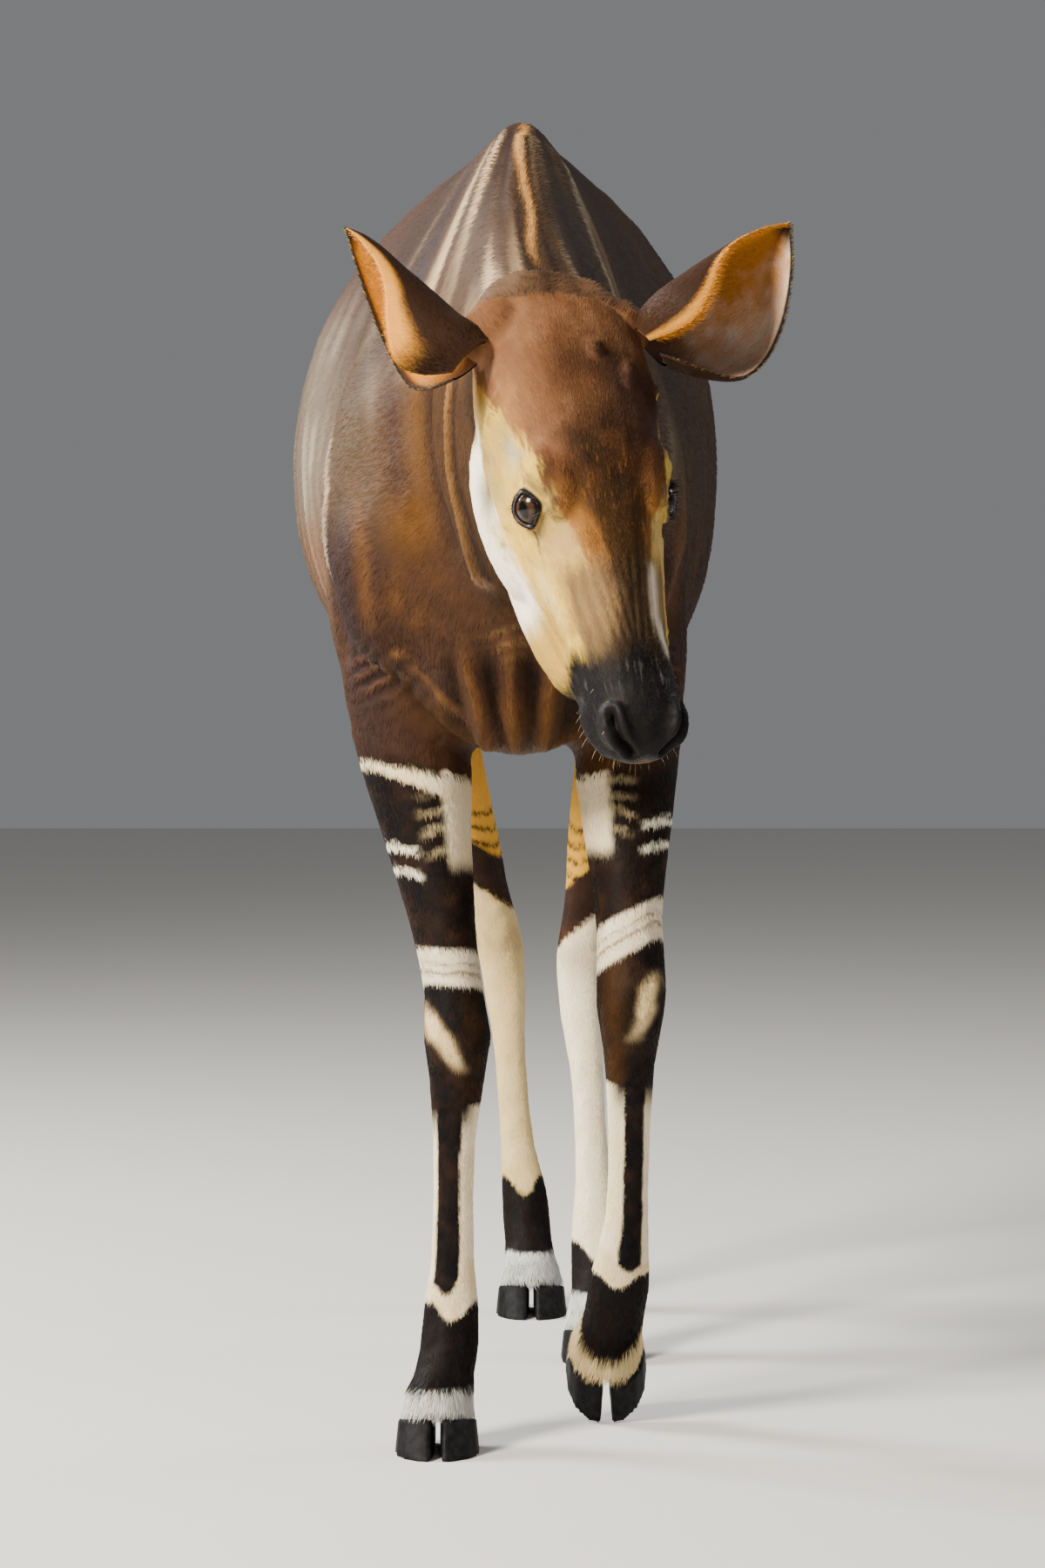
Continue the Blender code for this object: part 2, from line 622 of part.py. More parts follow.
# Ear stations from root to tip: place along the ear, its lobed edge and its straight edge to either
# side of the line from base to tip, depth of the cup, shift towards the opening, and how far in
# degrees the lobed rim, the right ear's straight rim and the left ear's straight rim curl in
EAR = (
    (0.00, 0.030, -0.026, 0.030, 0.004, 65, 78, 78),
    (0.10, 0.062, -0.034, 0.044, 0.014, 36, 73, 77),
    (0.24, 0.088, -0.037, 0.052, 0.024, 14, 59, 71),
    (0.40, 0.090, -0.034, 0.050, 0.025, 4, 36, 57),
    (0.57, 0.078, -0.029, 0.043, 0.020, 0, 10, 29),
    (0.73, 0.058, -0.024, 0.032, 0.012, 0, 0, 6),
    (0.87, 0.034, -0.016, 0.018, 0.005, 0, 0, 0),
    (0.96, 0.013, -0.007, 0.007, 0.001, 0, 0, 0),
    (1.00, 0.003, -0.002, 0.002, 0.000, 0, 0, 0),
)


def ear(side):
    """A pointed cup with a lobe on its lower edge, nearly a tube at its root, thin at its rim."""
    base, tip, opening = EARS[side]
    axis = (tip - base).normalized()
    reach = (tip - base).length
    opening = (opening - axis * axis.dot(opening)).normalized()
    lobe = axis.cross(opening).normalized()
    if lobe.dot(Vector((0, 0.6, -0.8))) < 0:
        lobe = -lobe
    columns = 12
    rings = []
    for t, low, high, depth, shift, low_curl, right_curl, left_curl in between(EAR, 2):
        high_curl = right_curl if side == "right" else left_curl
        centre = base + axis * (reach * t) + lobe * ((low + high) / 2) + opening * shift
        half = (low - high) / 2
        wall = 0.0035 + 0.004 * (1 - t) ** 2
        outer = []
        inner = []
        for j in range(columns + 1):
            part = 2 * j / columns - 1
            curl = low_curl if part > 0 else high_curl
            angle = part * (math.pi / 2 + math.radians(max(curl, 0)))
            rim = 1 - 0.55 * abs(part) ** 4
            thin = min(wall * rim, 0.6 * half, 0.6 * depth)
            outer.append(centre + lobe * (half * math.sin(angle)) - opening * (depth * math.cos(angle)))
            inner.append(centre + lobe * ((half - thin) * math.sin(angle))
                         - opening * ((depth - thin) * math.cos(angle)))
        rings.append(outer + inner[::-1])
    return loft("ear_" + side, rings)


def swollen(source, by):
    """A copy of a solid whose skin is moved out by a small distance."""
    shape = bmesh.new()
    shape.from_mesh(source.data)
    shape.normal_update()
    moves = [(vert, vert.normal.copy()) for vert in shape.verts]
    for vert, normal in moves:
        vert.co += normal * by
    return object_from_bmesh("swollen", shape)


def lock(root, way, length, width, sag, turn):
    """One flat tapered lock that bends down and ends in a point."""
    side = Vector((math.cos(turn), math.sin(turn), 0))
    rings = []
    steps = 4
    for i in range(steps + 1):
        t = i / steps
        centre = root + way * (length * t) + Vector((0, 0, -sag * t * t))
        wide = width * (1 - t) ** 0.7 * (0.75 + t * 0.9) + 0.0007
        flat = 0.45 * wide + 0.0004
        front = side.cross(way).normalized()
        rings.append([centre + side * wide, centre + front * flat, centre - side * wide, centre - front * flat])
    return loft("lock", rings)


def add_tuft(tail):
    """Fuses the locks of the tail's tuft with its tip."""
    chance = random.Random(7)
    tip = Vector((0.004, 1.268, 0.935))
    locks = []
    for i in range(TUFT_LOCKS):
        turn = 2 * math.pi * i / TUFT_LOCKS + chance.uniform(-0.2, 0.2)
        out = Vector((math.cos(turn), math.sin(turn), 0))
        root = tip + out * 0.003 + Vector((0, 0, chance.uniform(-0.005, 0.030)))
        way = (Vector((0, 0, -1)) + out * chance.uniform(0.10, 0.24)).normalized()
        locks.append(lock(root, way, chance.uniform(0.105, 0.150), chance.uniform(0.0095, 0.0125),
                          chance.uniform(0.0, 0.01), turn + math.pi / 2))
    group = bpy.data.collections.new("tuft")
    bpy.context.scene.collection.children.link(group)
    for piece in locks:
        group.objects.link(piece)
    union = tail.modifiers.new("tuft", "BOOLEAN")
    union.operation = "UNION"
    union.solver = "EXACT"
    union.operand_type = "COLLECTION"
    union.collection = group
    bake(tail)
    for piece in locks:
        bpy.data.objects.remove(piece, do_unlink=True)
    bpy.data.collections.remove(group)
    shape = bmesh.new()
    shape.from_mesh(tail.data)
    clear_faces(shape)
    keep_island(shape)
    shape.to_mesh(tail.data)
    shape.free()


def body_pieces(body):
    """Trunk, neck, tail and legs from the whole skin."""
    trunk_planes = [NECK_FRONT, TAIL_ROOT] + list(LEG_TOPS.values())
    piece_of("torso", body, trunk_planes)
    piece_of("neck", body, [turned(NECK_FRONT), HEAD_BACK], Vector((0.0, -0.3, 1.18)))
    add_tuft(piece_of("tail", body, [turned(TAIL_ROOT)], Vector((0.01, 1.27, 1.1))))
    for name, plane in LEG_TOPS.items():
        piece_of(name, body, [turned(plane), coronet_plane(name)], Vector(LEGS[name][8][:3]))
        claws(name)


def head_pieces():
    """Head, eyes and ears, finer than the body."""
    forms = [skull(), neck()] + face_forms()
    for side, sign in SIDES:
        forms += lids(side, sign)
    source = fuse("head_source", forms, HEAD_VOXEL, 5, HEAD_FACES)
    head = piece_of("head", source, [turned(HEAD_BACK)], HEAD_POSE @ Vector((0, -0.3, -0.06)))
    bpy.data.objects.remove(source, do_unlink=True)
    carve(head, face_tools())
    for side, sign in SIDES:
        eye(side, sign)
        carve(ear(side), [swollen(head, GAP), swollen(bpy.data.objects["neck"], GAP)])


def finish_nodes():
    """Gives each node its material and smooth shading, and centres the model over the origin."""
    nodes = [node for node in bpy.data.objects if node.type == "MESH"]
    corners = [vert.co for node in nodes for vert in node.data.vertices]
    middle = [(min(c[i] for c in corners) + max(c[i] for c in corners)) / 2 for i in (0, 1)]
    move = Matrix.Translation((-middle[0], -middle[1], 0))
    for node in nodes:
        node.data.transform(move)
        node.data.materials.clear()
        for start, look in LOOKS:
            if node.name.startswith(start):
                node.data.materials.append(material(node.name + "_look", look))
        node.data.shade_smooth()
        node.data.set_sharp_from_angle(angle=math.radians(50))
    return Vector(move.translation)


LOOKS = (("torso", COAT_BROWN), ("neck", NECK_BROWN), ("head", FACE_BROWN), ("leg", LEG_STRIPED),
         ("ear", EAR_BROWN), ("tail", TAIL_DARK), ("eye", EYE_DARK), ("claw", HORN_GREY))


def main():
    clear_scene()
    core = fuse("core", [trunk(), neck()] + trunk_muscles(), CORE_VOXEL, 24)
    parts = [core, skull(), tail_core()] + face_forms()
    parts += [limb(name + "_shape", keys) for name, keys in LEGS.items()]
    body = fuse("body", parts, BODY_VOXEL, 11, COARSE_FACES)
    body_pieces(body)
    bpy.data.objects.remove(body, do_unlink=True)
    head_pieces()
    return finish_nodes()


SHIFT = main()
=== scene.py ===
import math

import bmesh
import bpy
import numpy as np
from mathutils import Matrix, Vector
from mathutils.bvhtree import BVHTree


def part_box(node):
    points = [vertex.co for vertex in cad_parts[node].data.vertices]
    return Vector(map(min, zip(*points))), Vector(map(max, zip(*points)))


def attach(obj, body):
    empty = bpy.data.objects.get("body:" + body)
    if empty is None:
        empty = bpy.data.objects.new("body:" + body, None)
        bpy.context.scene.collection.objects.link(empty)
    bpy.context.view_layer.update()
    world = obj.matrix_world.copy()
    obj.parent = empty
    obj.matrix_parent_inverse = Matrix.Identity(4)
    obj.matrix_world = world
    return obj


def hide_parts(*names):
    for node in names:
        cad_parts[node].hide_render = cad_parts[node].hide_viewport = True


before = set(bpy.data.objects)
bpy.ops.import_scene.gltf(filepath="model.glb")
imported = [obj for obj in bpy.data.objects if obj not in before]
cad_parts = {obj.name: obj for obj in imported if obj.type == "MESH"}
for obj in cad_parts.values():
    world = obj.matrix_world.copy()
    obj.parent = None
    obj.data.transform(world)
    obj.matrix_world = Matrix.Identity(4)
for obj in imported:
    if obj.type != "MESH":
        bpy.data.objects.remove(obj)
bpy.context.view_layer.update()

# The animal faces -Y and its right side is at -X. Places below are in the body's own design
# coordinates: the frame's coordinates less SHIFT.
SIDES = (("right", -1), ("left", 1))
LEG_NAMES = ("leg_fore_right", "leg_fore_left", "leg_hind_right", "leg_hind_left")
FLESH = ("torso", "neck", "head", "tail") + LEG_NAMES

# Eyes: the lids' opening is given in degrees round the eyeball
EYE_RADIUS = 0.0225
LID_UP = 44.0
LID_DOWN = 38.0
LID_LONG = 48.0
LID_SHIFT = -2
LID_POWER = 1.8

# Line along the middle of the left nostril, in the head's own frame
NOSTRIL = ((0.0375, -0.4440, -0.0315), (0.0370, -0.4560, -0.0310), (0.0305, -0.4705, -0.0380),
           (0.0175, -0.4795, -0.0525))

# Paths on the trunk, written on its right side and used on both, for folds, markings and painted light and
# shade alike
SHOULDER_HIGHLIGHT = ((-0.048, -0.002, 1.452), (-0.060, -0.080, 1.409), (-0.069, -0.103, 1.380),
                 (-0.084, -0.112, 1.341), (-0.093, -0.107, 1.320), (-0.106, -0.095, 1.270))
SHOULDER_SHADE = ((-0.070, 0.045, 1.430), (-0.093, 0.006, 1.389), (-0.108, -0.010, 1.330),
                  (-0.122, -0.030, 1.260), (-0.135, -0.060, 1.180), (-0.128, -0.090, 1.090))
SHOULDER_EDGE_HIGHLIGHT = ((-0.205, 0.080, 1.235), (-0.216, 0.048, 1.166), (-0.218, 0.000, 1.085),
                 (-0.222, 0.004, 1.007), (-0.214, 0.030, 0.930))
THROAT_RIDGE = ((-0.080, -0.360, 1.200), (-0.078, -0.323, 1.151), (-0.076, -0.289, 1.097),
                (-0.067, -0.266, 1.051), (-0.047, -0.200, 0.985))
THROAT_SHADE = ((-0.104, -0.190, 1.190), (-0.104, -0.174, 1.138), (-0.095, -0.180, 1.081),
                (-0.080, -0.180, 1.020))
CHEST_EDGE = ((-0.158, -0.050, 0.935), (-0.135, -0.079, 0.895), (-0.097, -0.070, 0.851),
              (-0.068, -0.063, 0.817))

# Ridges (positive) and hollows of the trunk: path, width and height
BODY_LINES = (
    (((-0.212, 0.085, 1.220), (-0.222, 0.045, 1.080), (-0.226, 0.050, 0.980), (-0.214, 0.075, 0.900)),
     0.018, -0.0080),
    (THROAT_RIDGE, 0.011, 0.0080),
    (THROAT_SHADE, 0.018, -0.0070),
    (SHOULDER_SHADE[:4], 0.024, -0.0035),
    (CHEST_EDGE, 0.009, 0.0040),
    (((-0.168, -0.045, 0.958), (-0.150, -0.074, 0.914), (-0.114, -0.076, 0.871), (-0.082, -0.072, 0.838)),
     0.008, -0.0070),
    (((-0.215, 0.700, 0.860), (-0.200, 0.820, 1.060)), 0.030, -0.0060),
    (((-0.085, 0.110, 1.430), (-0.170, 0.060, 1.120)), 0.020, 0.0040),
    (((-0.140, 0.830, 1.375), (-0.140, 0.850, 1.375)), 0.045, 0.0100),
    (((-0.165, -0.055, 1.000), (-0.165, -0.055, 1.020)), 0.040, 0.0060),
)

# Paths on the face in the head's own frame (-y to the nose, z to the forehead), written on its left
# side and used on both
FACE_FOLD = ((0.084, -0.095, -0.030), (0.082, -0.108, -0.075), (0.077, -0.128, -0.112),
             (0.075, -0.165, -0.112), (0.073, -0.200, -0.105))
FOLD_SHADE = ((0.086, -0.080, -0.035), (0.084, -0.094, -0.080), (0.079, -0.112, -0.125),
              (0.077, -0.150, -0.128))
CHEEK_FOLD = ((0.075, -0.215, -0.128), (0.064, -0.265, -0.125), (0.055, -0.315, -0.098),
              (0.050, -0.350, -0.088))

# Ridges (positive) and hollows of the face: path, width and height
FACE_LINES = (
    (((0.080, -0.215, -0.080), (0.070, -0.270, -0.085), (0.056, -0.330, -0.085)), 0.0060, 0.0030),
    (CHEEK_FOLD, 0.0045, -0.0034),
    (((0.060, -0.255, -0.050), (0.050, -0.310, -0.052), (0.047, -0.350, -0.058)), 0.0055, 0.0022),
    (FACE_FOLD, 0.0060, 0.0046),
    (FOLD_SHADE[:3], 0.0065, -0.0034),
    (((0.078, -0.130, -0.120), (0.074, -0.190, -0.150), (0.060, -0.260, -0.165)), 0.0060, 0.0018),
    (((0.032, -0.260, -0.006), (0.030, -0.330, -0.014), (0.029, -0.390, -0.018)), 0.0060, 0.0016),
    (((0.016, -0.290, 0.000), (0.015, -0.350, -0.008), (0.015, -0.390, -0.012)), 0.0045, -0.0012),
    (((0.0500, -0.360, -0.064), (0.0490, -0.374, -0.074)), 0.0060, 0.0034),
    (((0.080, -0.148, -0.040), (0.080, -0.152, -0.040)), 0.0190, -0.0065),
    (((0.052, -0.253, -0.034), (0.052, -0.257, -0.034)), 0.0100, -0.0030),
    (((0.0300, -0.438, -0.0240), (0.0290, -0.456, -0.0240), (0.0240, -0.468, -0.0300)), 0.0050, 0.0022),
)

# Place of the left eye in the head's own frame, and the head's place and turn on the body
EYE_PLACE = Vector((0.0620, -0.210, -0.044))
HEAD_PLACE = Vector((0.044, -0.575, 1.262))
HEAD_POSE = (Matrix.Translation(HEAD_PLACE) @ Matrix.Rotation(math.radians(26), 4, "Z")
             @ Matrix.Rotation(math.radians(64), 4, "X") @ Matrix.Rotation(math.radians(-8), 4, "Y"))
HEAD_FRAME = np.array(HEAD_POSE)
HEAD_TURN = HEAD_FRAME[:3, :3]
HEAD_INVERSE = np.array(HEAD_POSE.inverted())

# Leg axes from the trunk to the coronet: x, y, z, half width
LEG_AXES = {
    "leg_fore_right": (
        (-0.130, 0.110, 1.030, 0.070), (-0.138, 0.120, 0.900, 0.075), (-0.124, 0.105, 0.790, 0.068),
        (-0.108, 0.080, 0.690, 0.052), (-0.092, 0.056, 0.600, 0.040), (-0.080, 0.040, 0.525, 0.035),
        (-0.074, 0.030, 0.465, 0.040), (-0.075, 0.030, 0.410, 0.033), (-0.078, 0.032, 0.330, 0.026),
        (-0.079, 0.030, 0.220, 0.027), (-0.081, 0.026, 0.155, 0.033), (-0.083, 0.018, 0.115, 0.035),
        (-0.089, 0.002, 0.078, 0.036), (-0.096, -0.018, 0.036, 0.045)),
    "leg_fore_left": (
        (0.118, 0.120, 1.030, 0.070), (0.121, 0.135, 0.900, 0.071), (0.119, 0.110, 0.790, 0.064),
        (0.120, 0.072, 0.690, 0.051), (0.121, 0.040, 0.605, 0.040), (0.123, 0.022, 0.545, 0.041),
        (0.123, 0.014, 0.500, 0.041), (0.122, 0.034, 0.450, 0.033), (0.122, 0.064, 0.370, 0.027),
        (0.121, 0.104, 0.265, 0.027), (0.116, 0.126, 0.200, 0.034), (0.112, 0.140, 0.162, 0.037),
        (0.106, 0.154, 0.125, 0.037), (0.098, 0.172, 0.086, 0.044)),
    "leg_hind_right": (
        (-0.120, 0.920, 1.170, 0.085), (-0.138, 0.900, 1.040, 0.082), (-0.138, 0.905, 0.930, 0.070),
        (-0.118, 0.955, 0.810, 0.057), (-0.088, 1.030, 0.700, 0.045), (-0.054, 1.100, 0.590, 0.034),
        (-0.034, 1.132, 0.510, 0.034), (-0.024, 1.138, 0.430, 0.030), (-0.017, 1.125, 0.340, 0.024),
        (-0.008, 1.108, 0.230, 0.025), (0.002, 1.095, 0.160, 0.032), (0.006, 1.084, 0.115, 0.034),
        (0.009, 1.066, 0.078, 0.035), (0.012, 1.044, 0.036, 0.043)),
    "leg_hind_left": (
        (0.128, 0.890, 1.170, 0.085), (0.145, 0.850, 1.040, 0.082), (0.145, 0.805, 0.930, 0.070),
        (0.128, 0.788, 0.810, 0.057), (0.106, 0.796, 0.700, 0.045), (0.086, 0.806, 0.590, 0.034),
        (0.076, 0.806, 0.510, 0.034), (0.077, 0.790, 0.430, 0.030), (0.084, 0.762, 0.340, 0.024),
        (0.090, 0.730, 0.230, 0.025), (0.093, 0.708, 0.160, 0.032), (0.094, 0.692, 0.115, 0.034),
        (0.095, 0.672, 0.078, 0.035), (0.096, 0.646, 0.036, 0.043)),
}
FOOT_TILT = {name: 0.0 for name in LEG_NAMES}
FOOT_TILT["leg_fore_left"] = math.radians(60)
CORONET_HEIGHT = 0.036
HOCK_HEIGHT = 0.500
FETLOCK_HEIGHT = 0.140
DEWCLAW_HEIGHT = 0.118

# Planes that part the regions, each a point and the way forward or down out of the trunk, and where
# the tail starts and its middle in x and y
NECK_FRONT = ((0.0, -0.085, 1.25), (0, -1, 0.32))
HEAD_BACK = ((0.035, -0.520, 1.20), (0.10, -1, -0.80))
TAIL_Y = 1.238
TAIL_MIDDLE = (0.007, 1.262)
LEG_TOPS = {
    "leg_fore_right": ((-0.05, 0.10, 0.752), (-0.42, 0.05, -1)),
    "leg_fore_left": ((0.05, 0.10, 0.752), (0.42, 0.05, -1)),
    "leg_hind_right": ((-0.04, 0.90, 0.865), (-0.38, 0.35, -1)),
    "leg_hind_left": ((0.05, 0.86, 0.855), (0.38, 0.35, -1)),
}

# Region numbers
TORSO, NECK, HEAD, TAIL, LEG0 = 0, 1, 2, 3, 4

# Mesh sizes, the most tufts in one piece, and the thickness of the long hairs
ROUGH_VOXEL = 0.0123
HOOF_VOXEL = 0.0027
MOST_TUFTS = 65000
FRINGE_THICK = 0.00022
RIM_THICK = 0.00020
LASH_THICK = 0.00018
WHISKER_THICK = 0.00012
TAIL_THICK = 0.00050

# The lie of the trunk's coat
TRUNK_LIE = (0, 0.89, -0.45)

# Camera: place in front of the animal, tilt below the level in degrees, and lens
CAMERA_PLACE = (0, -5.4, 0.95)
CAMERA_TILT = 2.1
LENS = 110
SENSOR_WIDTH = 36

# Where the lamps aim, and the floor's half width
LAMP_AIM = (0.0, 0.0, 0.85)
FLOOR_HALF = 15.0

# Colours, linear RGB
CHOCOLATE = (0.040, 0.018, 0.010)
DARK_COAT = (0.017, 0.009, 0.007)
PLUM = (0.026, 0.014, 0.013)
RUFOUS = (0.092, 0.038, 0.006)
GOLD_BROWN = (0.170, 0.070, 0.014)
OLIVE = (0.078, 0.050, 0.028)
PALE_SHEEN = (0.400, 0.320, 0.210)
CREST_ORANGE = (0.620, 0.300, 0.085)
CREAM = (0.690, 0.450, 0.075)
FACE_TAN = (0.480, 0.310, 0.065)
FACE_WHITE = (0.930, 0.860, 0.680)
MAROON = (0.160, 0.068, 0.029)
BRIDGE = (0.024, 0.014, 0.008)
STREAK = (0.330, 0.140, 0.030)
TAUPE = (0.250, 0.148, 0.066)
SLATE = (0.0040, 0.0040, 0.0048)
TEMPLE = (0.340, 0.340, 0.280)
LEG_CREAM = (0.720, 0.540, 0.270)
LEG_WHITE = (0.800, 0.720, 0.560)
LEG_DARK = (0.0035, 0.0028, 0.0032)
THIGH_TAN = (0.560, 0.270, 0.025)
EAR_BACK = (0.024, 0.011, 0.006)
EAR_ORANGE = (0.660, 0.245, 0.016)
EAR_PINK = (0.520, 0.350, 0.240)


def centre(node):
    """Middle of the box of one of the frame's nodes."""
    low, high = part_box(node)
    return (low + high) / 2


def eye_centre(sign):
    """Middle of one eyeball in the head's own frame."""
    return np.array((sign * EYE_PLACE.x, EYE_PLACE.y, EYE_PLACE.z))


SHIFT = centre("eye_right") - HEAD_POSE @ Vector(eye_centre(-1))
SHIFT.z = 0.0
MOVE = np.array(SHIFT)


# Number helpers

def soft(low, high, value):
    """Smooth step from 0 at low to 1 at high; low may be the larger."""
    t = np.clip((value - low) / (high - low), 0, 1)
    return t * t * (3 - 2 * t)


def mix(a, b, share):
    """Between a and b: a where the share is 0, b where it is 1."""
    share = np.asarray(share)[..., None]
    return np.asarray(a) * (1 - share) + np.asarray(b) * share


def bell(value, width):
    return np.exp(-(value / width) ** 2)


def unit(rows):
    return rows / np.maximum(np.linalg.norm(rows, axis=-1, keepdims=True), 1e-12)


def lattice(ix, iy, iz, seed):
    """A number from 0 to 1 for each whole point, scattered but always the same."""
    h = (ix * 374761393 + iy * 668265263 + iz * 974634777 + seed * 1274126177) & 0xFFFFFFFF
    h = ((h ^ (h >> 13)) * 1274126177) & 0xFFFFFFFF
    return ((h ^ (h >> 16)) & 0xFFFF) / 65535.0


def mottle(p, size, seed=0):
    """Smooth noise from 0 to 1 with features of about the given size; size may be one per axis."""
    q = p / np.asarray(size)
    cell = np.floor(q).astype(np.int64)
    f = q - cell
    f = f * f * (3 - 2 * f)
    total = np.zeros(len(p))
    for dx in (0, 1):
        for dy in (0, 1):
            for dz in (0, 1):
                share = (f[:, 0] if dx else 1 - f[:, 0]) * (f[:, 1] if dy else 1 - f[:, 1]) * (
                    f[:, 2] if dz else 1 - f[:, 2])
                total += share * lattice(cell[:, 0] + dx, cell[:, 1] + dy, cell[:, 2] + dz, seed)
    return total


def cloud(p, size, seed=0):
    """Mottle with finer mottle on it, from 0 to 1."""
    size = np.asarray(size)
    return (0.6 * mottle(p, size, seed) + 0.28 * mottle(p, size / 2, seed + 1)
            + 0.12 * mottle(p, size / 4, seed + 2))


def mirrored(p, sign):
    """The points with both halves of the body laid on the side at sign times x."""
    return np.stack([sign * np.abs(p[:, 0]), p[:, 1], p[:, 2]], 1)


def beyond(plane, p):
    """Distance of each point from a plane, positive on the side of its normal."""
    point, normal = np.array(plane[0]), np.array(plane[1], float)
    return (p - point) @ (normal / np.linalg.norm(normal))


def segment_distance(p, a, b):
    """Distance of each point from the line from a to b, and how far along it the nearest place is."""
    a, b = np.asarray(a, float), np.asarray(b, float)
    along = np.clip((p - a) @ (b - a) / ((b - a) @ (b - a)), 0, 1)
    return np.linalg.norm(p - a - along[:, None] * (b - a), axis=1), along


def path_distance(p, points):
    """Distance of each point from a path of straight pieces."""
    best = np.full(len(p), 1e9)
    for a, b in zip(points, points[1:]):
        best = np.minimum(best, segment_distance(p, a, b)[0])
    return best


def hair_noise(p, size, seed):
    """Noise drawn out along the lie of the trunk's coat."""
    along = p @ np.array(TRUNK_LIE)
    across = p @ np.array((0, 0.45, 0.89))
    return mottle(np.stack([p[:, 0], along * 0.14, across], 1), size, seed)


def ridge_lines(value, spacing, sharp=2.0):
    """Even ridges from 0 to 1, narrower as sharp grows."""
    return (0.5 + 0.5 * np.cos(2 * math.pi * value / spacing)) ** sharp


def brisket(p):
    """Share of the loose skin over the brisket at each point, and its ridges from 0 to 1."""
    x, y, z = p.T
    drift = 0.006 * (cloud(p, 0.06, 82) - 0.5)
    ridge = np.zeros(len(p))
    for top, low in ((-0.060, -0.042), (-0.013, -0.008), (0.036, 0.026)):
        line = low + (top - low) * (z - 0.805) / 0.075 + drift
        ridge = np.maximum(ridge, bell(x - line, 0.0135))
    share = soft(0.935, 0.870, z) * soft(0.775, 0.80, z) * soft(0.00, -0.05, y)
    return share * soft(0.095, 0.070, np.abs(x)), ridge


def elbow_creases(p):
    """Share and ridges of the creased skin over the elbow."""
    x, y, z = p.T
    wide = np.abs(x)
    share = np.exp(-((wide - 0.168) / 0.058) ** 2 - ((y + 0.005) / 0.085) ** 2 - ((z - 0.878) / 0.036) ** 2)
    level = z + 0.45 * (wide - 0.168) + 0.12 * y + 0.022 * (cloud(p, 0.05, 84) - 0.5)
    return share, ridge_lines(level - 0.868, 0.0205, 1.3)


def throat_wrinkles(p, drift=0.0):
    """Level wrinkles at the foot of the throat, from 0 to 1."""
    x, y, z = p.T
    lines = ridge_lines(z + 0.35 * np.abs(x) + drift, 0.017, 3.0)
    return lines * bell(z - 0.915, 0.022) * soft(-0.10, -0.13, y)


def neck_fan(p):
    """Points drawn out along lines that fan down the neck from the withers, for streaks there."""
    x, y, z = p.T
    return np.stack([np.arctan2(x - neck_middle(p), 1.56 - z), y * 0.25, z * 0.2], 1)


def to_head(p):
    """Design coordinates to the head's own frame: x to its left, -y to the nose, z to the forehead."""
    return p @ HEAD_INVERSE[:3, :3].T + HEAD_INVERSE[:3, 3]


def nearest_leg(p, name):
    """Distance to a leg's axis, and the axis point, direction and half width there."""
    rows = np.array(LEG_AXES[name])
    best = np.full(len(p), 1e9)
    spot = np.zeros((len(p), 3))
    way = np.zeros((len(p), 3))
    wide = np.zeros(len(p))
    for a, b in zip(rows, rows[1:]):
        distance, t = segment_distance(p, a[:3], b[:3])
        hit = distance < best
        best[hit] = distance[hit]
        spot[hit] = (a[:3] + t[:, None] * (b[:3] - a[:3]))[hit]
        way[hit] = unit(b[:3] - a[:3])
        wide[hit] = (a[3] + t * (b[3] - a[3]))[hit]
    return best, spot, way, wide


def regions(p):
    """Region number of each point."""
    found = np.full(len(p), TORSO)
    found[beyond(NECK_FRONT, p) > 0] = NECK
    local = to_head(p)
    inside = (beyond(HEAD_BACK, p) > 0) & (local[:, 1] < 0.08) & (local[:, 2] > -0.27)
    found[inside & (found == NECK)] = HEAD
    found[p[:, 1] > TAIL_Y] = TAIL
    distances = np.stack([nearest_leg(p, name)[0] for name in LEG_NAMES])
    nearest = distances.argmin(0)
    for i, name in enumerate(LEG_NAMES):
        under = (beyond(LEG_TOPS[name], p) > 0) & (p[:, 2] < 0.98) & (p[:, 1] < TAIL_Y) & (nearest == i)
        back = p[:, 1] > 0.5
        under &= back if "hind" in name else ~back
        found[under & (found != HEAD) & (found != NECK)] = LEG0 + i
    return found


# Markings and painted light and shade

def neck_middle(p):
    return np.interp(-p[:, 1], (0.17, 0.32, 0.46, 0.56), (0.000, 0.010, 0.024, 0.038))


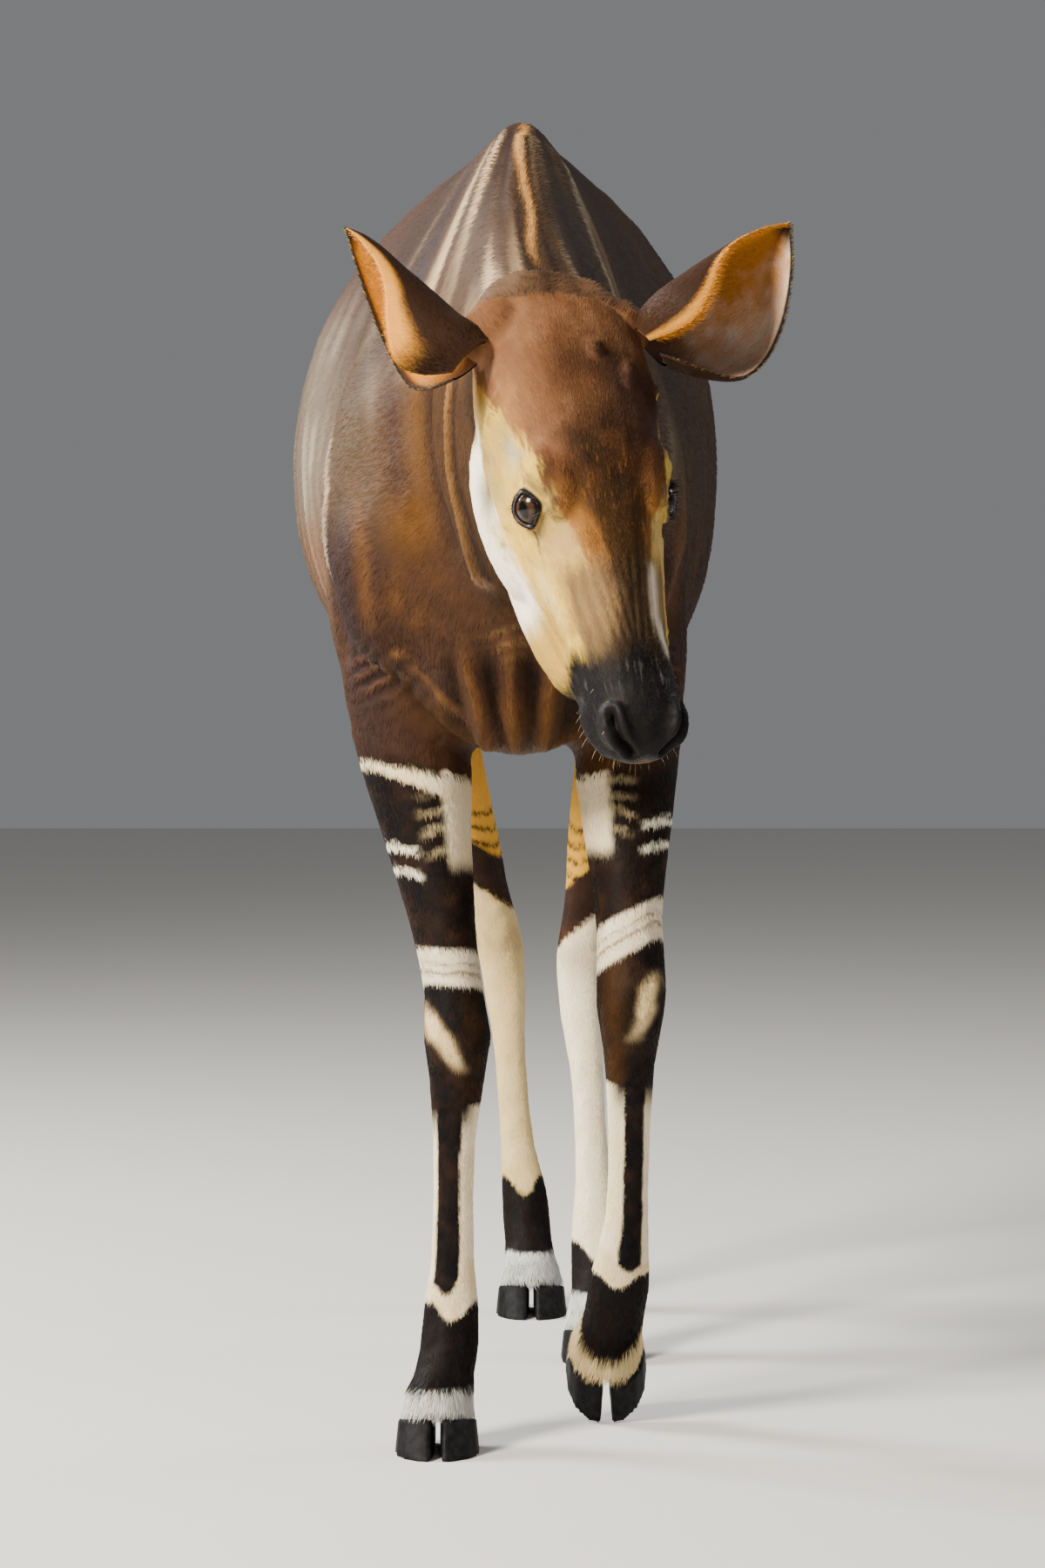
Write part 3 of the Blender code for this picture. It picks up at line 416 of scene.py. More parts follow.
def trunk_colour(p):
    """Chocolate back, flanks with painted sheen, rufous chest, neck with streaks of painted light and shade.
    """
    x, y, z = p.T
    wide = np.abs(x)
    mirror = mirrored(p, -1)
    blotch = cloud(p, 0.16, 3)
    fine = cloud(p, 0.035, 9)
    hair = hair_noise(p, (0.005, 0.008, 0.005), 12)
    colour = mix(CHOCOLATE, DARK_COAT, soft(0.30, 0.75, blotch) * 0.75)
    # painted sheen in pale upright bands on the barrel, paler higher up, strongest on the right flank's outer
    # curve
    rib = ridge_lines(y + 0.10 * (1.2 - z) + 0.07 * blotch, 0.080, 1.6) * soft(0.30, 0.70, cloud(p, 0.11, 5))
    flank = soft(0.03, 0.14, y) * soft(0.72, 0.26, y) * soft(0.84, 1.02, z) * soft(1.44, 1.24, z)
    flank = flank * soft(0.13, 0.23, wide)
    sheen = mix((0.34, 0.19, 0.10), (0.43, 0.37, 0.28), soft(1.00, 1.12, z))
    strength = soft(0.05, -0.05, x) * 0.80 + 0.20
    share = (0.24 + 0.40 * rib * (0.30 + fine)) * (0.35 + 0.70 * soft(0.19, 0.26, wide))
    colour = mix(colour, sheen, flank * share * strength)
    # shoulder: olive above, plum below, with soft upright streaks of painted sheen
    front = soft(0.12, 0.02, y)
    streak = mottle(np.stack([wide, y * 0.3, z * 0.12], 1), (0.014, 0.03, 0.04), 17)
    olive = front * soft(0.125, 0.175, wide) * soft(0.98, 1.10, z) * soft(1.36, 1.28, z)
    colour = mix(colour, mix(OLIVE, PALE_SHEEN, soft(0.55, 0.95, streak) * 0.40), olive * 0.70)
    plum = front * soft(0.13, 0.175, wide) * soft(1.10, 0.98, z)
    colour = mix(colour, PLUM, plum * 0.9)
    tan = front * bell(wide - 0.176 - 0.10 * (z - 1.0), 0.010) * soft(0.90, 0.96, z) * soft(1.12, 1.02, z)
    colour = mix(colour, GOLD_BROWN, tan * 0.40)
    # chest
    chest = soft(0.10, -0.02, y) * soft(0.185, 0.125, wide) * soft(1.34, 1.16, z)
    warm = mix(RUFOUS, CHOCOLATE, soft(0.35, 0.72, blotch))
    # painted golden highlights in patches on the lower chest
    warm = mix(warm, GOLD_BROWN, soft(0.50, 0.85, fine) * soft(0.84, 0.90, z) * soft(1.04, 0.94, z) * 0.50)
    colour = mix(colour, warm, chest * 0.92)
    shade = bell(path_distance(mirror, SHOULDER_SHADE), 0.026)
    colour = mix(colour, PLUM, shade * 0.85)
    # neck: olive with long streaks of painted light and shadow that fan out from the withers, lit more on the
    # right
    beside = x - neck_middle(p)
    broad = mottle(neck_fan(p), (0.075, 0.12, 0.12), 21)
    narrow = mottle(neck_fan(p), (0.026, 0.10, 0.10), 22)
    neck = soft(0.10, -0.02, y) * soft(1.17, 1.27, z)
    lit = 0.55 * broad + 0.45 * narrow
    sunny = soft(0.085, 0.035, beside) * 0.70 + 0.30
    colour = mix(colour, mix(OLIVE, CHOCOLATE, 0.25 + 0.6 * fine), neck * (1 - shade) * 0.85)
    colour = mix(colour, (0.50, 0.35, 0.20), neck * soft(0.50, 0.78, lit) * (1 - 0.8 * shade) * 0.80 * sunny)
    colour = mix(colour, DARK_COAT, neck * soft(0.45, 0.25, lit) * 0.75)
    # painted highlight along the front edge of the shoulder blade
    colour = mix(colour, PALE_SHEEN, bell(path_distance(mirror, SHOULDER_HIGHLIGHT), 0.0052) * 0.75)
    poll = soft(-0.40, -0.47, y) * soft(1.17, 1.22, z)
    colour = mix(colour, mix((0.130, 0.070, 0.036), CHOCOLATE, fine), poll * 0.95)
    # throat: dark brown, with painted shade in the hollow and beside the ridge, and a painted highlight on
    # the ridge
    throat = soft(-0.10, -0.22, y) * soft(1.26, 1.16, z)
    colour = mix(colour, mix(RUFOUS, DARK_COAT, 0.45 + 0.4 * fine), throat * 0.85)
    colour = mix(colour, DARK_COAT, bell(path_distance(mirror, THROAT_SHADE), 0.024) * 0.85)
    ridge = path_distance(mirror, THROAT_RIDGE)
    colour = mix(colour, mix(RUFOUS, (0.30, 0.15, 0.05), 0.7), bell(ridge, 0.009) * 0.8)
    colour = mix(colour, DARK_COAT, bell(ridge - 0.018, 0.007) * 0.75)
    # painted highlights on the wrinkles at the foot of the throat
    patch = np.linalg.norm((p - (-0.047, -0.197, 0.977)) / (1.6, 1.0, 0.6), axis=1)
    colour = mix(colour, (0.34, 0.20, 0.12), bell(patch, 0.013) * 0.6)
    wrinkle_highlight = throat_wrinkles(p, 0.006 * fine) * soft(0.06, 0.02, wide)
    colour = mix(colour, (0.26, 0.14, 0.06), wrinkle_highlight * 0.45)
    # brisket lobes and elbow creases, with painted shade in the creases and painted highlights on the ridges,
    # and the edge between chest and foreleg
    share, ridge = brisket(p)
    colour = mix(colour, (0.007, 0.0035, 0.0025), share * soft(0.55, 0.10, ridge) * 0.80)
    colour = mix(colour, GOLD_BROWN, share * soft(0.70, 1.0, ridge) * (0.10 + 0.35 * fine))
    share, ridge = elbow_creases(p)
    share = soft(0.15, 0.8, share)
    colour = mix(colour, (0.008, 0.004, 0.003), share * soft(0.45, 0.05, ridge) * 0.65)
    colour = mix(colour, (0.13, 0.058, 0.026), share * soft(0.65, 1.0, ridge) * 0.45 * (0.4 + fine))
    # painted highlight along the edge between chest and foreleg
    edge = path_distance(mirror, CHEST_EDGE)
    colour = mix(colour, (0.24, 0.11, 0.035), bell(edge, 0.0075) * 0.50)
    # thin orange line along the crest
    dark_edge = bell(np.abs(beside) - 0.013, 0.008) * soft(0.10, 0.05, y) * soft(1.20, 1.27, z)
    colour = mix(colour, DARK_COAT, dark_edge * np.where(x < neck_middle(p), 0.55, 0.25))
    crest = bell(beside - 0.004 * np.sin(y * 21), 0.0034) * soft(0.08, 0.03, y) * soft(-0.44, -0.30, y)
    colour = mix(colour, CREST_ORANGE, crest * soft(1.20, 1.27, z))
    # painted highlight along the shoulder's edge in front of the flank
    edge = bell(path_distance(mirror, SHOULDER_EDGE_HIGHLIGHT), 0.008)
    colour = mix(colour, (0.66, 0.50, 0.36), edge * soft(0.92, 0.99, z) * soft(1.25, 1.16, z) * 0.5)
    under = soft(0.86, 0.80, z) * soft(0.12, 0.25, y) * soft(0.80, 0.60, y)
    colour = mix(colour, PLUM, under * 0.6)
    colour = colour * (0.86 + 0.28 * hair)[:, None]
    bars, share = rump_stripes(p)
    return mix(colour, bars, share)


def rump_stripes(p):
    """White bars across the buttocks and the backs of the thighs: colour and share."""
    x, y, z = p.T
    wobble = 0.012 * (cloud(p, 0.09, 31) - 0.5) + 0.006 * (cloud(p, 0.03, 32) - 0.5)
    rise = z - 0.30 * (y - 0.95) + wobble
    wave = np.sin(2 * math.pi * rise / 0.044) + 0.25 * (cloud(p, 0.05, 33) - 0.5)
    bar = soft(0.15, 0.55, wave - 0.8 * soft(0.98, 1.10, z))
    heights = (0.62, 0.80, 0.95, 1.10)
    front = np.where(x < 0.02, np.interp(z, heights, (1.03, 0.94, 0.97, 1.10)),
                     np.interp(z, heights, (0.79, 0.80, 0.88, 1.08)))
    share = soft(0.0, 0.05, y - front) * soft(1.14, 1.06, z) * soft(0.58, 0.62, z)
    return mix(DARK_COAT, LEG_WHITE, bar), share


def leg_places(p, name):
    """Height up the limb, how far round to the outside (1) or inside (-1), and how far to the front."""
    side = -1 if "right" in name else 1
    _, spot, _, wide = nearest_leg(p, name)
    turn = FOOT_TILT[name]
    x, y, z, _ = LEG_AXES[name][-1]
    heel = np.array((x, y, z)) - np.array((0, -math.sin(turn), math.cos(turn))) * CORONET_HEIGHT
    rel = p - heel
    foot = -rel[:, 1] * math.sin(turn) + rel[:, 2] * math.cos(turn)
    level = np.where(turn > 0, foot + (p[:, 2] - foot) * soft(0.13, 0.22, p[:, 2]), p[:, 2])
    off = (p - spot) / wide[:, None]
    return level, off[:, 0] * side, -off[:, 1]


def banded(level, low, high, edge=0.004):
    """1 between low and high and 0 outside them, with soft edges."""
    return soft(low - edge, low + edge, level) * soft(high + edge, high - edge, level)


def fore_leg_colour(p, name):
    """Dark arm with white bars, dark knee, striped cannon and dark fetlock over a pale coronet."""
    level, out, front = leg_places(p, name)
    left = name.endswith("left")
    wobble = 0.010 * (cloud(p, 0.05, 41) - 0.5) + 0.005 * (cloud(p, 0.018, 42) - 0.5)
    fine = cloud(p, 0.02, 43)
    pale = mix(LEG_CREAM, LEG_WHITE, 0.25 + 0.6 * fine)
    dark = mix(LEG_DARK, CHOCOLATE, 0.50 * soft(0.35, 0.9, fine))
    colour = mix(trunk_colour(p), dark, soft(0.81, 0.75, level) * 0.92)
    lift = 0.030 if left else 0.0
    # cream inside of the arm, with fine dark bars along its front edge
    inner = soft(-0.30, -0.50, out + 0.10 * (fine - 0.5))
    colour = mix(colour, pale, inner * banded(level + wobble, 0.660 + lift * 0.6, 0.772, 0.010))
    bars = soft(0.35, 0.7, np.sin(2 * math.pi * (level + wobble * 1.6 + 0.015 * out) / 0.0215))
    zone = banded(level, 0.668 + lift, 0.735 + lift, 0.010) * soft(0.50, 0.22, np.abs(out + 0.22))
    zone = zone * soft(0.0, 0.4, front)
    colour = mix(colour, mix(pale, CREAM, 0.3), bars * zone * (0.10 + 0.45 * fine))
    # slanting white band round the upper arm, and thin white bars behind and outside
    if not left:
        slant = level + wobble * 0.6 - 0.020 * out
        thick = 0.0042 + 0.006 * soft(0.9, -0.4, out)
        band = banded(slant, 0.755 - thick, 0.755 + thick, 0.0018) * soft(-0.9, -0.5, out)
        colour = mix(colour, mix(LEG_CREAM, LEG_WHITE, fine), band)
    for low, tall in ((0.668, 0.0070), (0.642, 0.0065)):
        place = low + lift + 0.010 * out
        colour = mix(colour, LEG_WHITE,
                     banded(level + wobble * 0.4, place, place + tall, 0.0012) * soft(0.22, 0.45, out))
    back_bars = soft(0.2, 0.6, np.sin(2 * math.pi * (level + wobble + 0.04 * out) / 0.034))
    colour = mix(colour, LEG_WHITE, back_bars * banded(level, 0.58, 0.76, 0.02) * soft(-0.2, -0.6, front))
    # white bands above the knee, parted by a thin grey line
    arch = level + wobble * 0.7 - (0.020 * out if left else 0.003 * out) - 0.006 * front
    top = 0.604 if left else 0.560
    low = 0.557 if left else 0.519
    colour = mix(colour, mix(LEG_WHITE, (0.50, 0.36, 0.20), 0.75 * fine), banded(arch, low, top, 0.003))
    for share, thick in ((0.34, 0.0040), (0.62, 0.0022)):
        line = low + share * (top - low)
        band = banded(arch + wobble * 0.7, line, line + thick, 0.0012) * soft(-0.95, -0.5, front)
        colour = mix(colour, mix(LEG_DARK, TAUPE, 0.3 + 0.4 * fine), band * 0.85)
    # dark knee with a pale streak that slants down and in
    knee_low = 0.412 if left else 0.386
    drift = 0.5 * (cloud(p, 0.030, 44) - 0.5)
    start, slope, height = (0.54, 6.7, 0.528) if left else (0.85, 14.0, 0.492)
    fall = out + drift - (start - slope * (height - level))
    streak_low, streak_top = (0.466, 0.535) if left else (0.430, 0.500)
    streak = bell(fall, 0.33) * banded(level + wobble, streak_low, streak_top, 0.020) * soft(0.0, 0.3, front)
    streak = soft(0.08, 1.05, streak * (0.55 + 0.90 * fine))
    knee = mix(dark, (0.68, 0.50, 0.26), streak * 0.90)
    rust = 0.32 if left else 0.12
    knee = mix(knee, RUFOUS, bell(out + 0.5, 0.4) * soft(0.0, 0.4, front) * rust * (1 - streak))
    colour = mix(colour, knee, banded(arch, knee_low, low - 0.002, 0.002))
    # cannon: a dark stripe in front and towards the outside, cream beside and behind it
    cannon = soft(knee_low + 0.002, knee_low - 0.002, level + wobble)
    edges = (-0.22, 0.62) if left else (-0.29, 0.70)
    jag = 0.10 * (fine - 0.5) + 4.0 * wobble
    strip = banded(out + jag, edges[0], edges[1], 0.05) * soft(-0.40, -0.25, front)
    flare = soft(0.045, 0.0, knee_low - level) * soft(-0.5, 0.2, front) * soft(-0.85, -0.35, out)
    strip = np.maximum(strip, flare)
    colour = mix(colour, mix(pale, dark, strip), cannon)
    # cream wedge over the fetlock, black fetlock and pastern, white coronet
    point = 0.024 * bell(out + 0.05, 0.50) * soft(0.0, 0.8, front)
    wedge = banded(level + wobble + point, 0.168, 0.186 + 0.03 * soft(0.4, -0.4, out), 0.003)
    colour = mix(colour, mix(pale, FACE_TAN, 0.25), wedge * soft(-0.4, 0.3, front))
    colour = mix(colour, mix(LEG_DARK, CHOCOLATE, 0.12 * fine), soft(0.167, 0.162, level + wobble + point))
    ends = ((0.74, 0.58, 0.31), (0.54, 0.40, 0.19)) if left else ((0.62, 0.60, 0.54), (0.40, 0.41, 0.39))
    return mix(colour, mix(*ends, fine), soft(0.074, 0.068, level + wobble * 0.5))


def hind_leg_colour(p, name):
    """Tan inner thigh, barred rump, one dark band above the hock, pale cannon and dark fetlock."""
    level, out, front = leg_places(p, name)
    left = name.endswith("left")
    wobble = 0.010 * (cloud(p, 0.05, 51) - 0.5) + 0.006 * (cloud(p, 0.018, 52) - 0.5)
    fine = cloud(p, 0.02, 53)
    colour = trunk_colour(p)
    tan = soft(0.25, -0.35, out) * soft(0.98, 0.88, level)
    colour = mix(colour, mix(THIGH_TAN, CREAM, 0.35 * fine), tan)
    base = 0.640 if left else 0.650
    for step in range(4):
        place = base + 0.022 * step
        line = banded(level + wobble - 0.03 * out + 0.02 * front, place, place + 0.005, 0.0015)
        colour = mix(colour, DARK_COAT, line * soft(0.5, -0.1, out))
    bars, share = rump_stripes(p)
    colour = mix(colour, bars, share * soft(-0.35, 0.05, out - 0.4 * front))
    low = 0.545 if left else 0.572
    slant = level + wobble - 0.035 * out
    dark = mix(LEG_DARK, CHOCOLATE, 0.2 + 0.6 * fine)
    colour = mix(colour, dark, banded(slant, low, low + 0.075, 0.004) * soft(-0.9, -0.4, front))
    # the right hind's pale is a darker, yellower cream than the left's: partly its own tone, partly painted
    # shade
    if left:
        pale = mix(LEG_CREAM, LEG_WHITE, 0.5 * fine + 0.5)
    else:
        pale = mix((0.52, 0.38, 0.15), (0.70, 0.55, 0.30), fine)
    colour = mix(colour, pale, soft(low + 0.003, low - 0.003, slant))
    hock = bell(level - HOCK_HEIGHT, 0.030) * soft(-0.2, 0.5, front) * soft(0.2, 0.6, fine)
    colour = mix(colour, GOLD_BROWN, hock * 0.4)
    point = 0.024 * bell(out, 0.5) * soft(0.0, 0.8, front)
    sock = 0.146 if left else 0.182
    black = mix(LEG_DARK, DARK_COAT, 0.4 * fine)
    colour = mix(colour, black, soft(sock + 0.003, sock - 0.003, level + wobble + point))
    white = mix((0.60, 0.60, 0.56), (0.36, 0.39, 0.39), fine)
    return mix(colour, white, soft(0.086, 0.080, level + wobble * 0.5))


def tail_colour(p):
    """Dark brown, blacker towards the tip."""
    fine = cloud(p, 0.02, 61)
    colour = mix(CHOCOLATE, DARK_COAT, fine)
    return mix(colour, (0.010, 0.006, 0.005), soft(0.98, 0.92, p[:, 2]))


def eye_angles(local, sign):
    """Angles round one eye, along the face and up it, and distance from the eyeball's centre."""
    rel = local - eye_centre(sign)
    outward, forward, upward = eye_axes(sign)
    radius = np.linalg.norm(rel, axis=1)
    ahead = rel @ outward
    along = np.degrees(np.arctan2(rel @ forward, ahead))
    up = np.degrees(np.arctan2(rel @ upward, ahead))
    return along, up, radius


def eye_axes(sign):
    """Ways out of one eye, forward along its opening and up, in the head's own frame."""
    outward = Vector((sign * 0.80, -0.32, 0.42)).normalized()
    lean = Vector((0, -1, -0.25))
    forward = (lean - outward * outward.dot(lean)).normalized()
    upward = outward.cross(forward).normalized()
    if upward.z < 0:
        upward = -upward
    return np.array(outward), np.array(forward), np.array(upward)


def eye_opening(local, sign):
    """0 in the middle of the eye's opening, 1 on the lid edge and more outside it; then eye_angles."""
    along, up, radius = eye_angles(local, sign)
    high = np.where(up > 0, LID_UP, LID_DOWN)
    shape = (np.abs(along - LID_SHIFT) / LID_LONG) ** LID_POWER + (np.abs(up) / high) ** LID_POWER
    behind = np.abs(along) + np.abs(up) > 140
    return np.where(behind, 9.0, shape ** (1 / LID_POWER)), along, up, radius


def head_colour(p):
    """Cream cheeks, red brown crown, dark ridge of the nose and slate muzzle."""
    local = to_head(p)
    x, z = local[:, 0], local[:, 2]
    mirror = mirrored(local, 1)
    drift = cloud(p, 0.030, 71) - 0.5
    hair = mottle(local, (0.0024, 0.016, 0.0024), 72) - 0.5
    fine = cloud(p, 0.018, 73)
    phi = np.degrees(np.arctan2(np.abs(x), z + 0.060)) + 9 * drift + 11 * hair
    s = -local[:, 1] + 0.010 * drift + 0.010 * hair
    # cheek: cream, whiter along the jaw, tan in places
    colour = mix(CREAM, FACE_TAN, soft(0.35, 0.75, fine) * 0.8)
    shaded = soft(96, 108, phi) * soft(0.215, 0.170, s)
    colour = mix(colour, (0.26, 0.205, 0.095), shaded * (0.35 + 0.4 * fine))
    colour = mix(colour, (0.42, 0.28, 0.14), bell(s - 0.262, 0.030) * soft(92, 74, phi) * 0.6)
    colour = mix(colour, FACE_WHITE, soft(123, 140, phi) * soft(0.03, 0.10, s) * soft(0.335, 0.275, s))
    colour = mix(colour, (0.78, 0.62, 0.30), bell(s - 0.300, 0.034) * bell(phi - 104, 14) * 0.70)
    colour = mix(colour, (0.42, 0.26, 0.05), soft(92, 112, phi) * soft(0.275, 0.315, s) * 0.90)
    # olive patch of painted shade, grey patch, and the folds below the eye: painted shade in the hollows,
    # painted highlight on the ridge
    olive = np.linalg.norm((mirror - (0.078, -0.150, -0.138)) / (1, 1.5, 1), axis=1)
    colour = mix(colour, (0.19, 0.17, 0.09), bell(olive, 0.021) * 0.80)
    grey = bell(s - 0.153, 0.022) * bell(phi - 78, 11)
    colour = mix(colour, TEMPLE, grey * 0.75)
    fold = path_distance(mirror, FACE_FOLD)
    colour = mix(colour, (0.17, 0.12, 0.055), bell(path_distance(mirror, FOLD_SHADE), 0.0080) * 0.85)
    colour = mix(colour, (0.66, 0.42, 0.12), bell(fold, 0.0042) * 0.8)
    colour = mix(colour, (0.16, 0.11, 0.045), bell(path_distance(mirror, CHEEK_FOLD), 0.0036) * 0.80)
    # orange below the ear
    ear = soft(0.100, 0.045, s) * soft(70, 88, phi)
    colour = mix(colour, mix((0.50, 0.21, 0.035), MAROON, 0.5 * fine), ear * 0.85)
    # taupe side of the nose, wrinkled lengthwise, darker towards the muzzle
    taupe = soft(0.272, 0.305, s) * soft(86, 66, phi)
    lengthwise = ridge_lines(np.abs(x) + 0.10 * s + 0.002 * drift, 0.0085, 1.0)
    nose = mix(TAUPE, (0.140, 0.083, 0.042), 0.65 * lengthwise + 0.3 * fine)
    nose = mix(nose, (0.030, 0.020, 0.015), soft(0.335, 0.385, s) * 0.75)
    colour = mix(colour, nose, taupe * 0.95)
    # red brown forehead and poll with painted sheen, darker between the eyes, orange below them
    edge = np.interp(s, (-0.05, 0.03, 0.07, 0.105, 0.154, 0.192, 0.228, 0.245, 0.275, 0.31, 0.34),
                     (150, 118, 96, 72, 59, 50, 48, 44, 40, 28, 8))
    crown = mix(MAROON, (0.260, 0.130, 0.064), soft(0.40, 0.85, fine) * 0.55)
    # painted highlight on the right side of the forehead
    crown = mix(crown, (0.34, 0.160, 0.055), bell(s - 0.115, 0.035) * bell(phi - 62, 13) * (x < 0.0) * 0.7)
    brow = bell(s - 0.085, 0.036) * soft(44, 16, phi)
    crown = mix(crown, (0.046, 0.020, 0.010), brow * (0.45 + 0.6 * fine))
    # painted shade on the left side of the forehead
    crown = mix(crown, PLUM, soft(-0.004, 0.032, x) * soft(0.030, 0.120, s) * 0.78)
    inner = soft(0.165, 0.190, s)
    crown = mix(crown, (0.105, 0.040, 0.014), inner * 0.85)
    crown = mix(crown, (0.040, 0.014, 0.006), inner * soft(40, 47, phi) * soft(0.250, 0.225, s) * 0.75)
    crown = mix(crown, STREAK, soft(0.196, 0.245, s) * (0.45 + 0.50 * fine))
    crown = mix(crown, nose, soft(0.27, 0.31, s))
    colour = mix(colour, crown, soft(edge + 5, edge - 5, phi))
    # black ridge of the nose, from its corner between the brows into the muzzle
    run = (0.118, 0.130, 0.160, 0.200, 0.235, 0.255, 0.290, 0.325, 0.360, 0.380, 0.40)
    middle = np.interp(s, run, (-0.010, -0.006, -0.002, 0.000, 0.004, 0.007, 0.008, 0.007, 0.004, 0.002, 0))
    half = np.interp(s, run, (0.0, 0.030, 0.042, 0.038, 0.030, 0.025, 0.021, 0.0185, 0.021, 0.030, 0.05))
    edge = 0.010 + 0.011 * soft(0.25, 0.18, s)
    ridge = soft(half + edge, half - edge, np.abs(x - middle) + 0.010 * drift + 0.010 * hair)
    ridge = ridge * soft(0.098, 0.160, s)
    black = mix(BRIDGE, (0.070, 0.028, 0.012), soft(0.35, 0.80, fine) * soft(0.26, 0.19, s))
    gold = soft(0.22, 0.36, hair) * soft(0.14, 0.17, s) * soft(0.26, 0.22, s)
    colour = mix(colour, mix(black, GOLD_BROWN, gold * 0.6), ridge * (z > -0.10) * 0.88)
    # painted highlight: a pale line beside the ridge on the animal's left
    line = path_distance(local, ((0.032, -0.300, -0.020), (0.029, -0.350, -0.020), (0.034, -0.385, -0.030)))
    colour = mix(colour, (0.82, 0.70, 0.56), bell(line, 0.0062) * 0.85)
    # muzzle
    start = np.interp(phi, (0, 10, 27, 52, 81, 99, 130, 180),
                      (0.378, 0.382, 0.394, 0.391, 0.373, 0.364, 0.371, 0.380))
    muzzle = mix(SLATE, (0.018, 0.015, 0.015), 0.8 * fine)
    pale_hair = soft(0.18, 0.36, hair) * soft(0.450, 0.40, s) * np.where(x > 0.018, 0.45, 0.15)
    muzzle = mix(muzzle, (0.24, 0.215, 0.20), pale_hair)
    chin = soft(125, 145, phi) * soft(0.385, 0.40, s)
    muzzle = mix(muzzle, TAUPE, chin * 0.45 * fine)
    colour = mix(colour, muzzle, soft(start - 0.017, start + 0.013, s))
    # mouth line, nostrils and the skin round the eye
    colour = mix(colour, (0.003, 0.003, 0.003), bell(mouth_distance(local), 0.0020))
    for _, sign in SIDES:
        colour = mix(colour, (0.002, 0.002, 0.002), bell(nostril_distance(local, sign), 0.0046))
        opening, along, up, radius = eye_opening(local, sign)
        near = radius < 0.050
        under = up < 0
        shade = bell(opening - np.where(under, 1.62, 1.45), 0.17) * near
        colour = mix(colour, (0.070, 0.054, 0.038), shade * np.where(under, 0.80, 0.60))
        colour = mix(colour, (0.46, 0.33, 0.16), bell(opening - 1.33, 0.09) * near * under * 0.7)
        corner = segment_distance(np.stack([along, up, up * 0], 1), (44, -4, 0), (72, -16, 0))[0]
        colour = mix(colour, (0.030, 0.022, 0.018), bell(corner, 5.0) * near * 0.9)
        colour = mix(colour, (0.008, 0.006, 0.006), soft(1.30, 1.12, opening) * near)
    fade = soft(-0.030, -0.055, -local[:, 1])
    return mix(colour, trunk_colour(p), fade)


def mouth_path():
    """Line of the lips from corner to corner, in the head's own frame."""
    points = []
    steps = 22
    for i in range(steps + 1):
        angle = math.pi * i / steps
        reach = abs(math.sin(angle)) ** 0.55
        points.append((-math.cos(angle) * 0.047, -0.370 - 0.104 * reach, -0.096 + 0.006 * reach))
    return np.array(points)


MOUTH_SQUEEZE = np.array((0.35, 0.35, 1.0))
MOUTH = mouth_path() * MOUTH_SQUEEZE


def mouth_distance(local):
    """Distance from the line of the lips, measured mostly up and down."""
    near = local[:, 1] < -0.35
    found = np.full(len(local), 1.0)
    if near.any():
        found[near] = path_distance(local[near] * MOUTH_SQUEEZE, MOUTH)
    return found


def nostril_distance(local, sign):
    """Distance from the line along one nostril, in the head's own frame."""
    return path_distance(local * (sign, 1, 1), NOSTRIL)


def coat_colour(p, region):
    """Colour of the coat at each point, in design coordinates."""
    colour = np.zeros((len(p), 3))
    for number in np.unique(region):
        here = region == number
        if number == HEAD:
            colour[here] = head_colour(p[here])
        elif number == TAIL:
            colour[here] = tail_colour(p[here])
        elif number >= LEG0:
            name = LEG_NAMES[number - LEG0]
            leg_colour = fore_leg_colour if "fore" in name else hind_leg_colour
            colour[here] = leg_colour(p[here], name)
        else:
            colour[here] = trunk_colour(p[here])
    return np.clip(colour, 0.002, 1.0)


# Meshes

def mesh_from(name, co, faces):
    """A mesh of triangles from arrays of points and corner numbers."""
    mesh = bpy.data.meshes.new(name)
    mesh.vertices.add(len(co))
    mesh.vertices.foreach_set("co", np.ascontiguousarray(co, np.float32).ravel())
    mesh.loops.add(faces.size)
    mesh.loops.foreach_set("vertex_index", np.ascontiguousarray(faces, np.int32).ravel())
    mesh.polygons.add(len(faces))
    mesh.polygons.foreach_set("loop_start", np.arange(0, faces.size, faces.shape[1], dtype=np.int32))
    mesh.update(calc_edges=True)
    mesh.validate()
    mesh.shade_smooth()
    return mesh


def mesh_of(name, shape):
    """A smooth mesh from a bmesh, which is freed."""
    mesh = bpy.data.meshes.new(name)
    shape.to_mesh(mesh)
    shape.free()
    mesh.shade_smooth()
    return mesh


def put(name, data):
    """A new object in the scene from a mesh, a light or a camera."""
    made = bpy.data.objects.new(name, data)
    bpy.context.scene.collection.objects.link(made)
    return made


def add_piece(name, mesh, material, slot_name, *nodes):
    """A piece of the model that rides on root and takes the place of the frame's nodes named."""
    made = put(name, mesh)
    made.data.materials.append(material)
    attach(made, "root")
    if nodes:
        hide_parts(*nodes)


def remeshed(mesh, voxel, rounds=0):
    """One closed skin of even faces over the mesh, smoothed so many rounds."""
    whole = put(mesh.name, mesh)
    grid = whole.modifiers.new("grid", "REMESH")
    grid.mode = "VOXEL"
    grid.voxel_size = voxel
    if rounds:
        soften = whole.modifiers.new("soften", "SMOOTH")
        soften.factor = 0.5
        soften.iterations = rounds
    bpy.context.view_layer.update()
    graph = bpy.context.evaluated_depsgraph_get()
    made = bpy.data.meshes.new_from_object(whole.evaluated_get(graph))
    bpy.data.objects.remove(whole, do_unlink=True)
    return made


def paint(mesh, colour):
    """Colour of each point, as the attribute that the coat's materials read."""
    layer = mesh.color_attributes.new("coat", "FLOAT_COLOR", "POINT")
    rows = np.ones((len(colour), 4), np.float32)
    rows[:, :3] = colour
    layer.data.foreach_set("color", rows.ravel())


